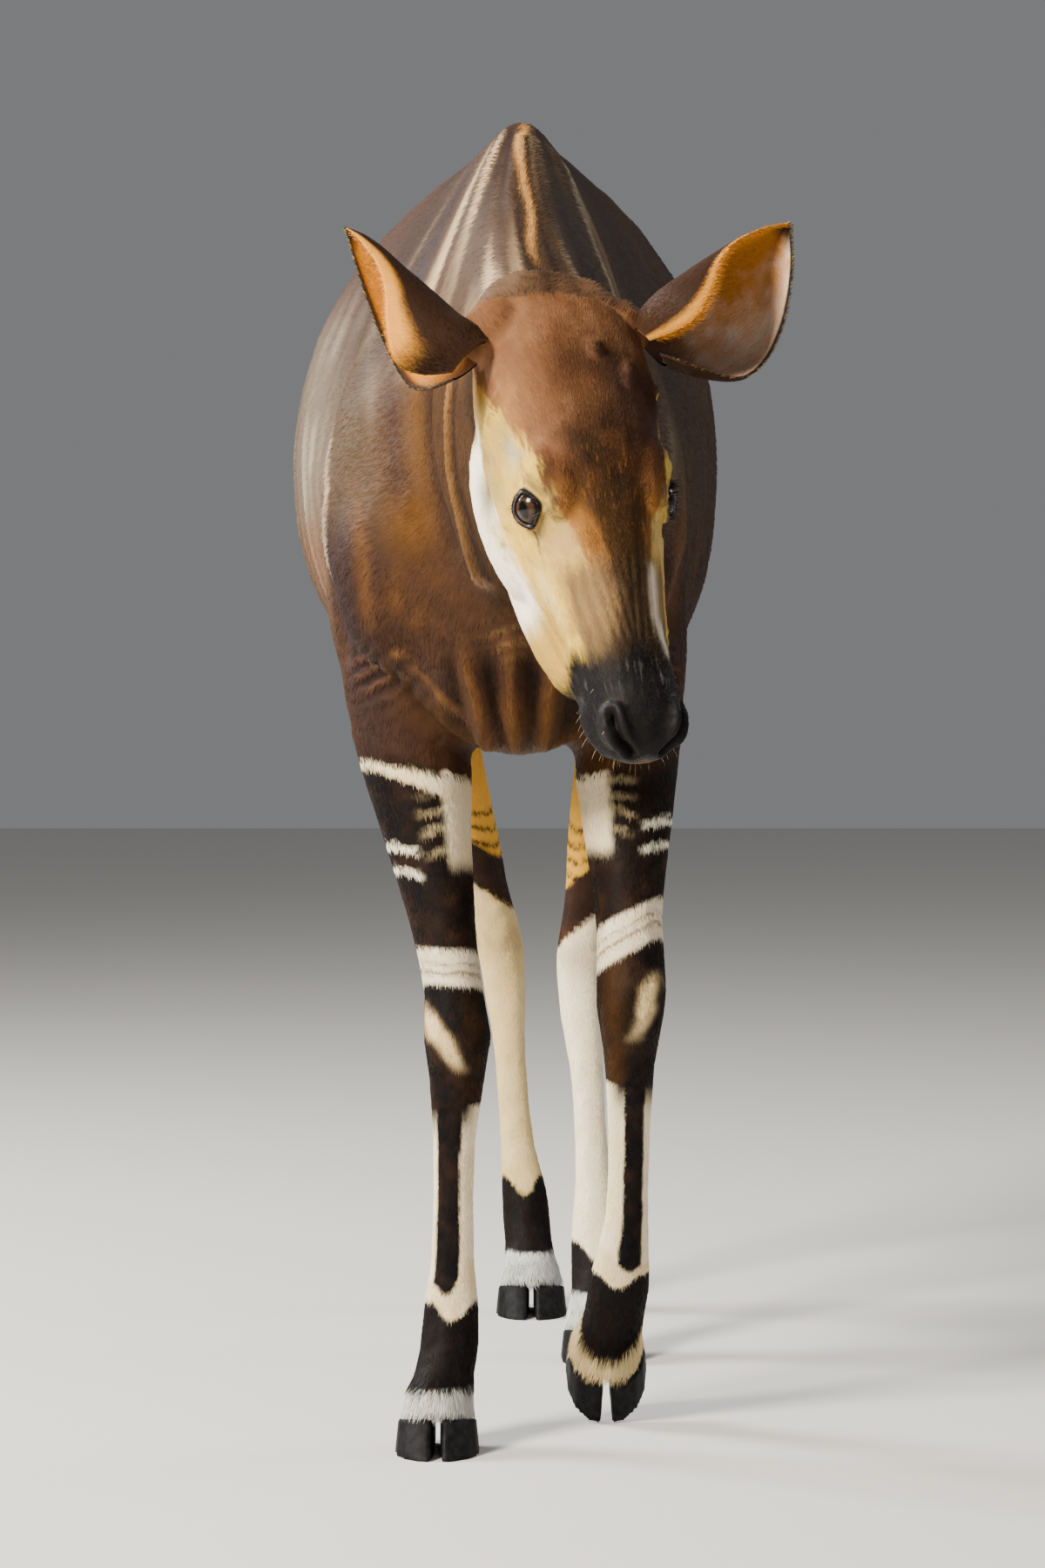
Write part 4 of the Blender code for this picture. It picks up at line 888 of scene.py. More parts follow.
def numbers(mesh, name, values):
    """A number for each point, as a named attribute."""
    layer = mesh.attributes.new(name, "FLOAT", "POINT")
    layer.data.foreach_set("value", np.asarray(values, np.float32))


def unwrap(mesh, place):
    """Gives each corner of the mesh its point's place on the flat unwrap."""
    layer = mesh.uv_layers.new(name="OFBake")
    corner = np.empty(len(mesh.loops), np.int32)
    mesh.loops.foreach_get("vertex_index", corner)
    layer.data.foreach_set("uv", place[corner].astype(np.float32).ravel())


def points_of(mesh):
    co = np.empty(len(mesh.vertices) * 3, np.float32)
    mesh.vertices.foreach_get("co", co)
    return co.reshape(-1, 3).astype(float)


def triangles_of(mesh):
    mesh.calc_loop_triangles()
    tri = np.empty(len(mesh.loop_triangles) * 3, np.int32)
    mesh.loop_triangles.foreach_get("vertices", tri)
    return tri.reshape(-1, 3)


def edges_of(mesh):
    edge = np.empty(len(mesh.edges) * 2, np.int32)
    mesh.edges.foreach_get("vertices", edge)
    return edge.reshape(-1, 2)


def normals_of(co, tri):
    """Normal at each point, the mean of its triangles weighted by their size."""
    face = np.cross(co[tri[:, 1]] - co[tri[:, 0]], co[tri[:, 2]] - co[tri[:, 0]])
    total = np.zeros_like(co)
    for corner in range(3):
        for axis in range(3):
            total[:, axis] += np.bincount(tri[:, corner], face[:, axis], len(co))
    return unit(total)


def averaged(values, edge, count):
    """Mean of each point's neighbours."""
    total = np.zeros_like(values)
    for axis in range(values.shape[1]):
        total[:, axis] = (np.bincount(edge[:, 0], values[edge[:, 1], axis], len(values))
                          + np.bincount(edge[:, 1], values[edge[:, 0], axis], len(values)))
    return total / count[:, None]


def along_skin(way, n):
    """Directions turned flat onto the skin."""
    return unit(way - n * (way * n).sum(1)[:, None])


def relax(co, edge, rounds, weight):
    """Smooths bumps without shrinking: each round pulls in and then pushes back."""
    count = np.bincount(edge.ravel(), minlength=len(co)).clip(1)
    for _ in range(rounds):
        for factor in (0.50, -0.53):
            co = co + factor * weight[:, None] * (averaged(co, edge, count) - co)
    return co


def rough_skin():
    """One closed skin over all the flesh, finer in front and on the legs and finest on the face."""
    shape = bmesh.new()
    for name in FLESH + ("eye_right", "eye_left"):
        shape.from_mesh(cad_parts[name].data)
    tree = BVHTree.FromBMesh(shape)
    fused = remeshed(mesh_of("flesh", shape), ROUGH_VOXEL)
    shape = bmesh.new()
    shape.from_mesh(fused)
    for wanted in (fine_zone, head_zone, face_zone):
        middles = np.array([face.calc_center_median() for face in shape.faces]) - MOVE
        chosen = wanted(middles)
        edges = {edge for face, yes in zip(shape.faces, chosen) if yes for edge in face.edges}
        bmesh.ops.subdivide_edges(shape, edges=list(edges), cuts=1, use_grid_fill=True)
        bmesh.ops.triangulate(shape, faces=[face for face in shape.faces if len(face.verts) > 4])
    bmesh.ops.triangulate(shape, faces=shape.faces[:])
    shape.to_mesh(fused)
    shape.free()
    return fused, tree


def fine_zone(p):
    """Legs, neck, head and the front of the trunk."""
    legs = p[:, 2] < 0.80
    front = (p[:, 1] < 0.10) & (p[:, 2] < 1.60)
    return legs | front


def head_zone(p):
    """Front of the head, from between the ears to the muzzle."""
    local = to_head(p)
    return (local[:, 1] < 0.02) & (local[:, 2] > -0.27) & (beyond(HEAD_BACK, p) > -0.02)


def face_zone(p):
    """Round the eyes and on the muzzle."""
    local = to_head(p)
    from_eyes = np.minimum(*(np.linalg.norm(local - eye_centre(sign), axis=1) for _, sign in SIDES))
    return (from_eyes < 0.048) | (local[:, 1] < -0.345)


def folds(p, region):
    """How far the skin stands out (positive) or sinks, from creases, ribs, muscles and veins."""
    x, y, z = p.T
    mirror = mirrored(p, -1)
    rib = ridge_lines(y + 0.10 * (1.2 - z) + 0.03 * cloud(p, 0.16, 3), 0.062)
    flank = soft(0.12, 0.28, y) * soft(0.85, 0.62, y) * soft(0.86, 1.0, z) * soft(1.46, 1.34, z)
    lift = flank * (rib - 0.4) * 0.0026
    fan = mottle(neck_fan(p), (0.075, 0.12, 0.12), 21) - 0.5
    lift += soft(0.10, -0.02, y) * soft(1.16, 1.27, z) * fan * 0.010
    share, ridge = brisket(p)
    lift += share * (ridge - 0.55) * 0.018
    share, ridge = elbow_creases(p)
    lift += share * (ridge - 0.5) * 0.0055
    lift += throat_wrinkles(p) * soft(0.07, 0.03, np.abs(x)) * 0.003
    for points, width, height in BODY_LINES:
        lift += bell(path_distance(mirror, points), width) * height
    lift += (cloud(p, 0.05, 83) - 0.5) * 0.0030
    return lift * ((region == TORSO) | (region == NECK))


def leg_forms(p, region):
    """Tendons, knee and hock bones and the bulge of the fetlock."""
    lift = np.zeros(len(p))
    for i, name in enumerate(LEG_NAMES):
        here = region == LEG0 + i
        if not here.any():
            continue
        level, out, front = leg_places(p[here], name)
        add = np.zeros(here.sum())
        if "fore" in name:
            knee = 0.500 if name.endswith("left") else 0.462
            add += bell(level - knee, 0.030) * soft(0.2, 0.8, front) * 0.0035
            add -= bell(level - knee + 0.045, 0.016) * soft(0.2, 0.8, front) * 0.0025
            add += bell(level - knee - 0.05, 0.030) * soft(-0.2, -0.8, front) * 0.0030
        else:
            add += bell(level - HOCK_HEIGHT, 0.035) * soft(-0.3, -0.9, front) * 0.0040
            add -= bell(level - 0.560, 0.050) * soft(0.6, 0.9, np.abs(out)) * 0.0040
        cannon = banded(level, 0.19, 0.38, 0.03)
        add -= cannon * soft(0.55, 0.9, np.abs(out)) * soft(0.5, 0.0, np.abs(front + 0.25)) * 0.0030
        add += cannon * soft(-0.7, -1.0, front) * 0.0015
        add += bell(level - FETLOCK_HEIGHT, 0.018) * soft(-0.4, -0.9, front) * 0.0040
        dew = bell(level - DEWCLAW_HEIGHT, 0.010) * bell(np.abs(out) - 0.45, 0.22) * soft(-0.5, -0.9, front)
        add += dew * 0.006
        lift[here] += add
    return lift


def face_forms(local):
    """Veins and bones of the face, temple hollow, lips and nostrils."""
    mirror = mirrored(local, 1)
    s = -local[:, 1]
    lift = np.zeros(len(local))
    for points, width, height in FACE_LINES:
        lift += bell(path_distance(mirror, points), width) * height
    lengthwise = ridge_lines(mirror[:, 0] + 0.10 * s, 0.0085, 1.0) - 0.5
    lift += lengthwise * soft(0.275, 0.30, s) * soft(0.385, 0.365, s) * 0.0009
    slit = path_distance(mirror, NOSTRIL)
    lift -= bell(slit, 0.0042) * 0.0105
    lift += bell(slit - 0.0088, 0.0040) * 0.0016
    mouth = mouth_distance(local)
    front = soft(0.362, 0.372, s)
    lift -= front * bell(mouth, 0.0020) * 0.0045
    lift += front * bell(mouth - 0.0060, 0.0035) * 0.0012
    return lift + (cloud(local, 0.020, 85) - 0.5) * 0.0016


def open_eyes(local):
    """Sinks the skin under the eyeball inside the opening and wraps the lids round it."""
    for _, sign in SIDES:
        opening, _, up, radius = eye_opening(local, sign)
        near = (radius < 0.040) & (opening < 3.0)
        goal = EYE_RADIUS + 0.0030 * soft(0.97, 1.10, opening)
        goal = np.where(opening < 1.0, EYE_RADIUS - 0.0035 * soft(1.0, 0.90, opening), goal)
        share = np.where(opening < 1.12, 1.0, soft(1.85, 1.12, opening)) * near
        middle = eye_centre(sign)
        way = unit(local - middle)
        crease = bell(opening - 1.42, 0.07) * np.where(up > 0, 1.0, 0.7)
        wanted = middle + way * (goal - crease * 0.0016)[:, None]
        local = local + (wanted - local) * share[:, None]
    return local


def coat_depth(p, region, local):
    """How far the skin lies under the solids, for the coat to fill."""
    depth = np.full(len(p), 0.0030)
    depth[region >= LEG0] = 0.0018
    depth[region == TAIL] = 0.0020
    head = region == HEAD
    depth[head] = np.interp(-local[head, 1], (0.0, 0.10, 0.36, 0.42), (0.0026, 0.0016, 0.0012, 0.0004))
    return depth


def lie_of_coat(p, n, region, edge):
    """Direction of the hair at each point of the skin."""
    way = np.zeros_like(p)
    way[:] = (0.0, 1.0, -0.50)
    way[region == NECK] = (0.0, 0.80, -0.62)
    way[region == TAIL] = (0.0, 0.05, -1.0)
    head = region == HEAD
    local = to_head(p[head])
    back = np.tile((0.0, 0.9, -0.20), (head.sum(), 1))
    back[:, 2] -= 0.5 * soft(-0.06, -0.16, local[:, 2])
    back[:, 0] += 0.35 * np.sign(local[:, 0]) * soft(0.02, 0.06, np.abs(local[:, 0]))
    way[head] = back @ HEAD_TURN.T
    for i, name in enumerate(LEG_NAMES):
        here = region == LEG0 + i
        way[here] = nearest_leg(p[here], name)[2] + (0, 0.12, 0)
    shoulder = (region == TORSO) & (p[:, 2] < 1.0)
    way[shoulder] += np.array((0, 0, -0.6)) * soft(1.05, 0.80, p[shoulder, 2])[:, None]
    way = along_skin(way, n)
    count = np.bincount(edge.ravel(), minlength=len(p)).clip(1)
    for _ in range(25):
        way = unit(0.5 * way + 0.5 * averaged(way, edge, count))
    return along_skin(way, n)


def build_skin():
    """The skin's mesh with its points, triangles, normals, lie of the hair and regions."""
    mesh, tree = rough_skin()
    co = points_of(mesh)
    tri = triangles_of(mesh)
    edge = edges_of(mesh)
    co = np.array([tree.find_nearest(point)[0] for point in co])
    region = regions(co - MOVE)
    weight = np.where(region == HEAD, 0.7, 1.0)
    co = relax(co, edge, 14, weight)
    co = relax(co, edge, 26, np.where(region == HEAD, 0.0, 1.0))
    n = normals_of(co, tri)
    p = co - MOVE
    local = to_head(p)
    co = co + n * (folds(p, region) + leg_forms(p, region) - coat_depth(p, region, local))[:, None]
    head = region == HEAD
    n = normals_of(co, tri)
    local = to_head(co - MOVE)
    lift = np.where(head, face_forms(local), 0.0)
    local = local + (n @ HEAD_INVERSE[:3, :3].T) * lift[:, None]
    local[head] = open_eyes(local[head])
    co[head] = (local @ HEAD_TURN.T + HEAD_FRAME[:3, 3] + MOVE)[head]
    n = normals_of(co, tri)
    region = regions(co - MOVE)
    way = lie_of_coat(co - MOVE, n, region, edge)
    skin_mesh = mesh_from("skin", co, tri)
    paint(skin_mesh, coat_colour(co - MOVE, region))
    local = to_head(co - MOVE)
    bare = np.where(region == HEAD, soft(-0.375, -0.42, local[:, 1]), 0.0)
    for _, sign in SIDES:
        opening, _, _, radius = eye_opening(local, sign)
        bare = np.maximum(bare, (region == HEAD) * (radius < 0.04) * soft(1.35, 1.15, opening))
    numbers(skin_mesh, "bare", bare)
    numbers(skin_mesh, "on_head", region == HEAD)
    numbers(skin_mesh, "on_leg", region >= LEG0)
    return skin_mesh, co, tri, n, way, region


# Coat

def chart(p, region):
    """A place for each point on a flat unwrap of its region's own shape."""
    u = np.zeros(len(p))
    v = np.zeros(len(p))
    body = (region == TORSO) | (region == NECK)
    axis = np.interp(p[:, 1], (-0.55, -0.15, 0.2), (1.17, 1.14, 1.12))
    u[body] = np.arctan2(p[body, 0], p[body, 2] - axis[body])
    v[body] = p[body, 1]
    head = region == HEAD
    local = to_head(p[head])
    u[head] = np.arctan2(local[:, 0], local[:, 2] + 0.07)
    v[head] = local[:, 1]
    tail = region == TAIL
    u[tail] = np.arctan2(p[tail, 0] - TAIL_MIDDLE[0], p[tail, 1] - TAIL_MIDDLE[1])
    v[tail] = p[tail, 2]
    for i, name in enumerate(LEG_NAMES):
        here = region == LEG0 + i
        if here.any():
            spot = nearest_leg(p[here], name)[1]
            u[here] = np.arctan2(p[here, 0] - spot[:, 0], -(p[here, 1] - spot[:, 1]))
            v[here] = p[here, 2]
    return u, v


def blades(root, normal, way, length, width, lift, colour, uv, name, slot_name, material):
    """One mesh of thin tufts, each a low ridge of three triangles that ends in a point."""
    across = np.cross(normal, way) * (width / 2)[:, None]
    rise = normal * (np.sin(lift) * length)[:, None]
    base = root - normal * 0.0004
    crown = root + way * (length * 0.4)[:, None] + normal * (width * 0.30)[:, None] + rise * 0.4
    tip = root + way * length[:, None] + normal * 0.0002 + rise
    co = np.stack([base - across, base + across, crown, tip], 1).reshape(-1, 3)
    pattern = np.array(((1, 0, 2), (0, 3, 2), (1, 2, 3)))
    faces = (np.arange(len(root))[:, None, None] * 4 + pattern[None]).reshape(-1, 3)
    mesh = mesh_from(name, co, faces)
    # painted shade at each tuft's root, and a slightly lighter tip
    shade = np.stack([colour * 0.80, colour * 0.80, colour, colour * 1.10], 1)
    paint(mesh, np.clip(shade, 0.001, 1).reshape(-1, 3))
    patch = np.array(((-1, -1), (1, -1), (0, 0), (0, 1))) * 0.0015
    place = (uv[:, None, :] + patch[None]).reshape(-1, 2)
    unwrap(mesh, place)
    add_piece(name, mesh, material, slot_name)


def spread(values):
    """The values stretched to fill the unwrap from side to side."""
    low, high = values.min(), values.max()
    return 0.01 + 0.98 * (values - low) / max(high - low, 1e-9)


def scatter(co, tri, density, chance):
    """Random places on a mesh: triangle numbers and shares of their corners."""
    a, b, c = co[tri[:, 0]], co[tri[:, 1]], co[tri[:, 2]]
    area = np.linalg.norm(np.cross(b - a, c - a), axis=1) / 2
    weight = area * density[tri].mean(1)
    count = int(weight.sum())
    steps = np.cumsum(weight)
    picks = (np.arange(count) + chance.random(count)) / count * steps[-1]
    chosen = np.searchsorted(steps, picks).clip(0, len(tri) - 1)
    r = np.sqrt(chance.random(count))
    t = chance.random(count)
    share = np.stack([1 - r, r * (1 - t), r * t], 1)
    return chosen, share


def at(values, tri, chosen, share):
    """Values of a mesh's points, blended at the places that scatter chose."""
    if values.ndim == 1:
        return (values[tri[chosen]] * share).sum(1)
    return (values[tri[chosen]] * share[:, :, None]).sum(1)


def coat_sizes(p, region):
    """Density, length, width and lift of the tufts at each point."""
    local = to_head(p)
    s = -local[:, 1]
    leg = region >= LEG0
    head = region == HEAD
    tail = region == TAIL
    down = soft(0.75, 0.45, p[:, 2])
    # longer hair over the hooves; the raised left fore foot's starts higher up
    raised_foot = 0.035 * (p[:, 1] > 0.12) * (p[:, 1] < 0.3)
    feather = leg * soft(0.095, 0.065, p[:, 2] - raised_foot) * (p[:, 2] > 0.02)
    density = np.where(leg, (90000 + 25000 * down) * (1 + 0.8 * feather), 55000.0)
    length = np.where(leg, 0.0085 - 0.0022 * down + 0.010 * feather, 0.0115)
    width = np.where(leg, 0.0012 - 0.0002 * down, 0.0014)
    lift = np.where(leg, 0.045 + 0.045 * feather, 0.045)
    density = np.where(head, 420000.0, density)
    length = np.where(head, np.interp(s, (0.0, 0.10, 0.20, 0.36, 0.42, 0.47),
                                      (0.0095, 0.0075, 0.0065, 0.0060, 0.0036, 0.0026)), length)
    width = np.where(head, np.interp(s, (0.0, 0.20, 0.40), (0.0010, 0.0008, 0.0006)), width)
    lift = np.where(head, 0.055, lift)
    length = np.where(tail, 0.0140, length)
    density = np.where(tail, 90000.0, density)
    crest = bell(p[:, 0] - neck_middle(p), 0.007) * (region == NECK) * soft(1.22, 1.30, p[:, 2])
    lift = lift + 0.04 * crest
    density = density * (1 + 0.8 * crest)
    # no tufts in the eyes, nostrils and mouth
    for _, sign in SIDES:
        opening, _, _, radius = eye_opening(local, sign)
        close = head & (radius < 0.045)
        density = np.where(close & (opening < 1.14), 0.0, density)
        length = np.where(close, length * (0.45 + 0.55 * soft(1.1, 1.9, opening)), length)
        density = np.where(head & (nostril_distance(local, sign) < 0.0050), 0.0, density)
    density = np.where(head & (mouth_distance(local) < 0.0014) & (s > 0.36), 0.0, density)
    density = density * np.where(head, 1 - 0.65 * soft(0.43, 0.47, s), 1.0)
    return density, length, width, lift


def dress(co, tri, n, way, region, material):
    """Covers the skin with tufts, in pieces by region and by place round it."""
    chance = np.random.default_rng(11)
    density, length, width, lift = coat_sizes(co - MOVE, region)
    chosen, share = scatter(co, tri, density, chance)
    root = at(co, tri, chosen, share)
    normal = unit(at(n, tri, chosen, share))
    flow = at(way, tri, chosen, share)
    flow = along_skin(flow, normal)
    swing = chance.normal(0, 0.10, len(root)) + 0.40 * (cloud(root, 0.045, 91) - 0.5)
    flow = unit(flow * np.cos(swing)[:, None] + np.cross(normal, flow) * np.sin(swing)[:, None])
    long = at(length, tri, chosen, share) * chance.uniform(0.75, 1.25, len(root))
    wide = at(width, tri, chosen, share) * chance.uniform(0.75, 1.2, len(root))
    raised = at(lift, tri, chosen, share) * chance.uniform(0.6, 1.5, len(root))
    place = regions(root - MOVE)
    colour = coat_colour(root - MOVE, place)
    tone = chance.uniform(0.91, 1.10, len(root))[:, None]
    warm = chance.uniform(-0.04, 0.04, len(root))
    tint = np.stack([1 + warm, np.ones(len(root)), 1 - warm], 1)
    colour = np.clip(colour * tone * tint, 0.001, 1)
    u, v = chart(root - MOVE, place)
    pieces = (("coat_body", "coat_body", TORSO), ("coat_neck", "coat_neck", NECK),
              ("coat_head", "coat_face", HEAD), ("coat_tail", "coat_tail", TAIL))
    pieces += tuple(("coat_" + name, "coat_leg", LEG0 + i) for i, name in enumerate(LEG_NAMES))
    for name, slot_name, number in pieces:
        here = np.flatnonzero(place == number)
        order = here[np.argsort(u[here], kind="stable")]
        parts = max(1, math.ceil(len(order) / MOST_TUFTS))
        for k, rows in enumerate(np.array_split(order, parts)):
            if not len(rows):
                continue
            uv = np.stack([spread(u[rows]), spread(v[rows])], 1)
            blades(root[rows], normal[rows], flow[rows], long[rows], wide[rows], raised[rows],
                   colour[rows], uv, f"{name}_{k + 1}", slot_name, material)


# Ears

# Base and tip of each ear, and the way its cup opens
EARS = {
    "right": (Vector((-0.048, -0.590, 1.202)), Vector((-0.178, -0.545, 1.333)),
              Vector((-0.62, -0.40, -0.66))),
    "left": (Vector((0.126, -0.540, 1.216)), Vector((0.270, -0.520, 1.340)), Vector((0.10, -0.98, -0.02))),
}

# Ear stations from root to tip: place along the ear, lobed edge, straight edge, depth of the cup,
# shift towards the opening, and curl in degrees of the lobed rim and of the right and left ear's
# straight rim
EAR = (
    (0.00, 0.030, -0.026, 0.030, 0.004, 65, 78, 78),
    (0.10, 0.062, -0.034, 0.044, 0.014, 36, 73, 77),
    (0.24, 0.088, -0.037, 0.052, 0.024, 14, 59, 71),
    (0.40, 0.090, -0.034, 0.050, 0.025, 4, 36, 57),
    (0.57, 0.078, -0.029, 0.043, 0.020, 0, 10, 29),
    (0.73, 0.058, -0.024, 0.032, 0.012, 0, 0, 6),
    (0.87, 0.034, -0.016, 0.018, 0.005, 0, 0, 0),
    (0.96, 0.013, -0.007, 0.007, 0.001, 0, 0, 0),
    (1.00, 0.003, -0.002, 0.002, 0.000, 0, 0, 0),
)


def between(keys, steps):
    """Rows of numbers on a smooth curve (Catmull-Rom) through the rows of keys."""
    rows = []
    last = len(keys) - 1
    for span in range(last):
        a, b, c, d = (np.array(keys[min(max(span + k, 0), last)], float) for k in (-1, 0, 1, 2))
        for step in range(steps):
            t = step / steps
            rows.append(0.5 * (2 * b + (c - a) * t + (2 * a - 5 * b + 4 * c - d) * t ** 2
                               + (3 * b - a - 3 * c + d) * t ** 3))
    rows.append(np.array(keys[-1], float))
    return rows


def ear_shape(side):
    """Points of the ear's back and inside as two grids, with the place along and across the ear."""
    base, tip, opening = EARS[side]
    axis = (tip - base).normalized()
    reach = (tip - base).length
    opening = (opening - axis * axis.dot(opening)).normalized()
    lobe = axis.cross(opening).normalized()
    if lobe.dot(Vector((0, 0.6, -0.8))) < 0:
        lobe = -lobe
    axis, opening, lobe = np.array(axis), np.array(opening), np.array(lobe)
    columns = 40
    outer, inner, places = [], [], []
    part = 2 * np.arange(columns + 1) / columns - 1
    for t, low, high, depth, shift, low_curl, right_curl, left_curl in between(EAR, 7):
        high_curl = right_curl if side == "right" else left_curl
        middle = np.array(base) + axis * (reach * t) + lobe * ((low + high) / 2) + opening * shift
        half = (low - high) / 2
        coat = min(0.0016, 0.25 * half)
        wall = 0.0022 + 0.003 * (1 - t) ** 2
        curl = np.where(part > 0, max(low_curl, 0), max(high_curl, 0))
        angle = part * (math.pi / 2 + np.radians(curl))
        wave = 0.0015 * np.sin(14 * t + 5 * part) * (1 - abs(part)) * soft(0.0, 0.3, np.array(t))
        thin = np.minimum(wall * (1 - 0.55 * np.abs(part) ** 4), min(0.5 * half, 0.5 * depth))
        def ring(inset):
            return (middle + lobe * ((half - inset) * np.sin(angle))[:, None]
                    - opening * ((depth - inset) * np.cos(angle))[:, None])
        outer.append(ring(coat + wave))
        inner.append(ring(coat + thin + wave))
        places.append(np.stack([np.full(columns + 1, t), part], 1))
    return np.array(outer), np.array(inner), np.array(places), axis, opening, lobe


def ear_colour(places, inside, p, side):
    """Dark brown back, orange and pinkish tan inside, dark rim along the lobed edge, with painted glow of
    light through the ear and painted shade at the cup's base.
    """
    t, part = places[:, 0], places[:, 1]
    right = side == "right"
    fine = cloud(p, 0.010, 101)
    back = mix(EAR_BACK, CHOCOLATE, 0.55 * soft(0.30, 0.0, t) + 0.25 * fine)
    back = mix(back, (0.16, 0.085, 0.045), bell(part + 0.1, 0.25) * 0.35 * fine)
    bowl = mix(EAR_PINK, (0.50, 0.42, 0.36), 0.7 * soft(0.45, 0.75, fine))
    # orange inside: partly the ear's own colour, partly painted glow of light shining through it, over nearly
    # all the right ear
    fire = EAR_ORANGE if right else mix((0.30, 0.11, 0.012), EAR_ORANGE, soft(-0.40, -0.85, part))
    orange = soft(0.60, -0.45, part + 0.7 * (fine - 0.5) - 0.4 * soft(0.35, 0.9, t) - (1.2 if right else 0))
    bowl = mix(bowl, mix(fire, (0.36, 0.13, 0.015), 0.7 * fine), orange)
    # painted shade deep in the cup at its base
    bowl = mix(bowl, (0.05, 0.024, 0.014), soft(0.26, 0.04, t) * 0.9)
    rim = np.maximum(soft(0.86, 0.97, part) * soft(0.02, 0.10, t), soft(0.88, 0.97, t))
    bowl = mix(bowl, (0.022, 0.013, 0.010), rim)
    # painted glow of light through the thin straight rim, on the back along that edge
    glow = soft(-0.68, -0.82, part + 0.05 * fine) * soft(0.10, 0.30, t) if right else soft(-0.90, -0.97, part)
    back = mix(back, mix(EAR_ORANGE, (0.70, 0.34, 0.06), fine), glow * 0.9)
    return np.where(inside[:, None], bowl, back)


def grid_faces(rows, columns, start, flip):
    """Four-cornered faces of a grid of points that starts at the number given."""
    i, j = np.meshgrid(np.arange(rows - 1), np.arange(columns - 1), indexing="ij")
    a = start + i * columns + j
    quads = np.stack([a, a + 1, a + columns + 1, a + columns], -1).reshape(-1, 4)
    return quads[:, ::-1] if flip else quads


def ears(skin_look, fur, hair):
    """Both ears: their skin, the coat outside and inside, and their long hairs."""
    chance = np.random.default_rng(23)
    for side, sign in SIDES:
        outer, inner, places, axis, opening, lobe = ear_shape(side)
        rows, columns = outer.shape[:2]
        co = np.concatenate([outer.reshape(-1, 3), inner.reshape(-1, 3)]) + MOVE
        place = np.concatenate([places.reshape(-1, 2)] * 2)
        inside = np.arange(len(co)) >= len(co) // 2
        flip = sign < 0
        step = rows * columns
        quads = [grid_faces(rows, columns, 0, flip), grid_faces(rows, columns, step, not flip)]
        for j in (0, columns - 1):
            a = np.arange(rows - 1) * columns + j
            strip = np.stack([a, a + columns, a + columns + step, a + step], 1)
            quads.append(strip if (j == 0) != flip else strip[:, ::-1])
        a = (rows - 1) * columns + np.arange(columns - 1)
        strip = np.stack([a, a + 1, a + 1 + step, a + step], 1)
        quads.append(strip[:, ::-1] if not flip else strip)
        quads = np.concatenate(quads)
        tri = np.concatenate([quads[:, [0, 1, 2]], quads[:, [0, 2, 3]]])
        n = normals_of(co, tri)
        back = co[:step] - co[step:]
        if (n[:step] * back).sum(1).mean() < 0:
            tri = tri[:, ::-1]
            n = -n
        mesh = mesh_from("ear_" + side + "_skin", co, tri)
        paint(mesh, ear_colour(place, inside, co - MOVE, side))
        for kind in ("bare", "on_head", "on_leg"):
            numbers(mesh, kind, np.zeros(len(co)))
        add_piece("ear_" + side + "_skin", mesh, skin_look, "coat_ear", "ear_" + side)
        # coat of the back and of the inside
        density = np.where(place[:, 0] < 0.06, 80000.0, 260000.0)
        chosen, share = scatter(co, tri, density, chance)
        root = at(co, tri, chosen, share)
        normal = unit(at(n, tri, chosen, share))
        spot = at(place, tri, chosen, share)
        inner_side = at(inside.astype(float), tri, chosen, share) > 0.5
        flow = np.tile(axis, (len(root), 1))
        across = np.cross(normal, flow)
        lean = np.where(inner_side, 0.9 * soft(0.3, -0.9, spot[:, 1]), 0.15)
        lean = lean + chance.normal(0, 0.12, len(root))
        toward = np.where((across @ lobe)[:, None] > 0, across, -across)
        flow = unit(flow + toward * lean[:, None])
        flow = along_skin(flow, normal)
        long = np.where(inner_side, 0.0080, 0.0060) * chance.uniform(0.7, 1.3, len(root))
        long = long * (1 - 0.45 * spot[:, 0])
        wide = np.where(inner_side, 0.0007, 0.0009) * chance.uniform(0.8, 1.2, len(root))
        raised = np.where(inner_side, 0.10, 0.055) * chance.uniform(0.5, 1.5, len(root))
        colour = ear_colour(spot, inner_side, root - MOVE, side)
        colour = np.clip(colour * chance.uniform(0.88, 1.13, len(root))[:, None], 0.002, 1)
        u = 0.02 + 0.46 * (spot[:, 1] + 1) / 2 + np.where(inner_side, 0.5, 0.0)
        uv = np.stack([u, 0.02 + 0.96 * spot[:, 0]], 1)
        blades(root, normal, flow, long, wide, raised, colour, uv, "coat_ear_" + side, "coat_ear", fur)
        ear_fringe(side, outer, inner, axis, opening, lobe, hair, chance)


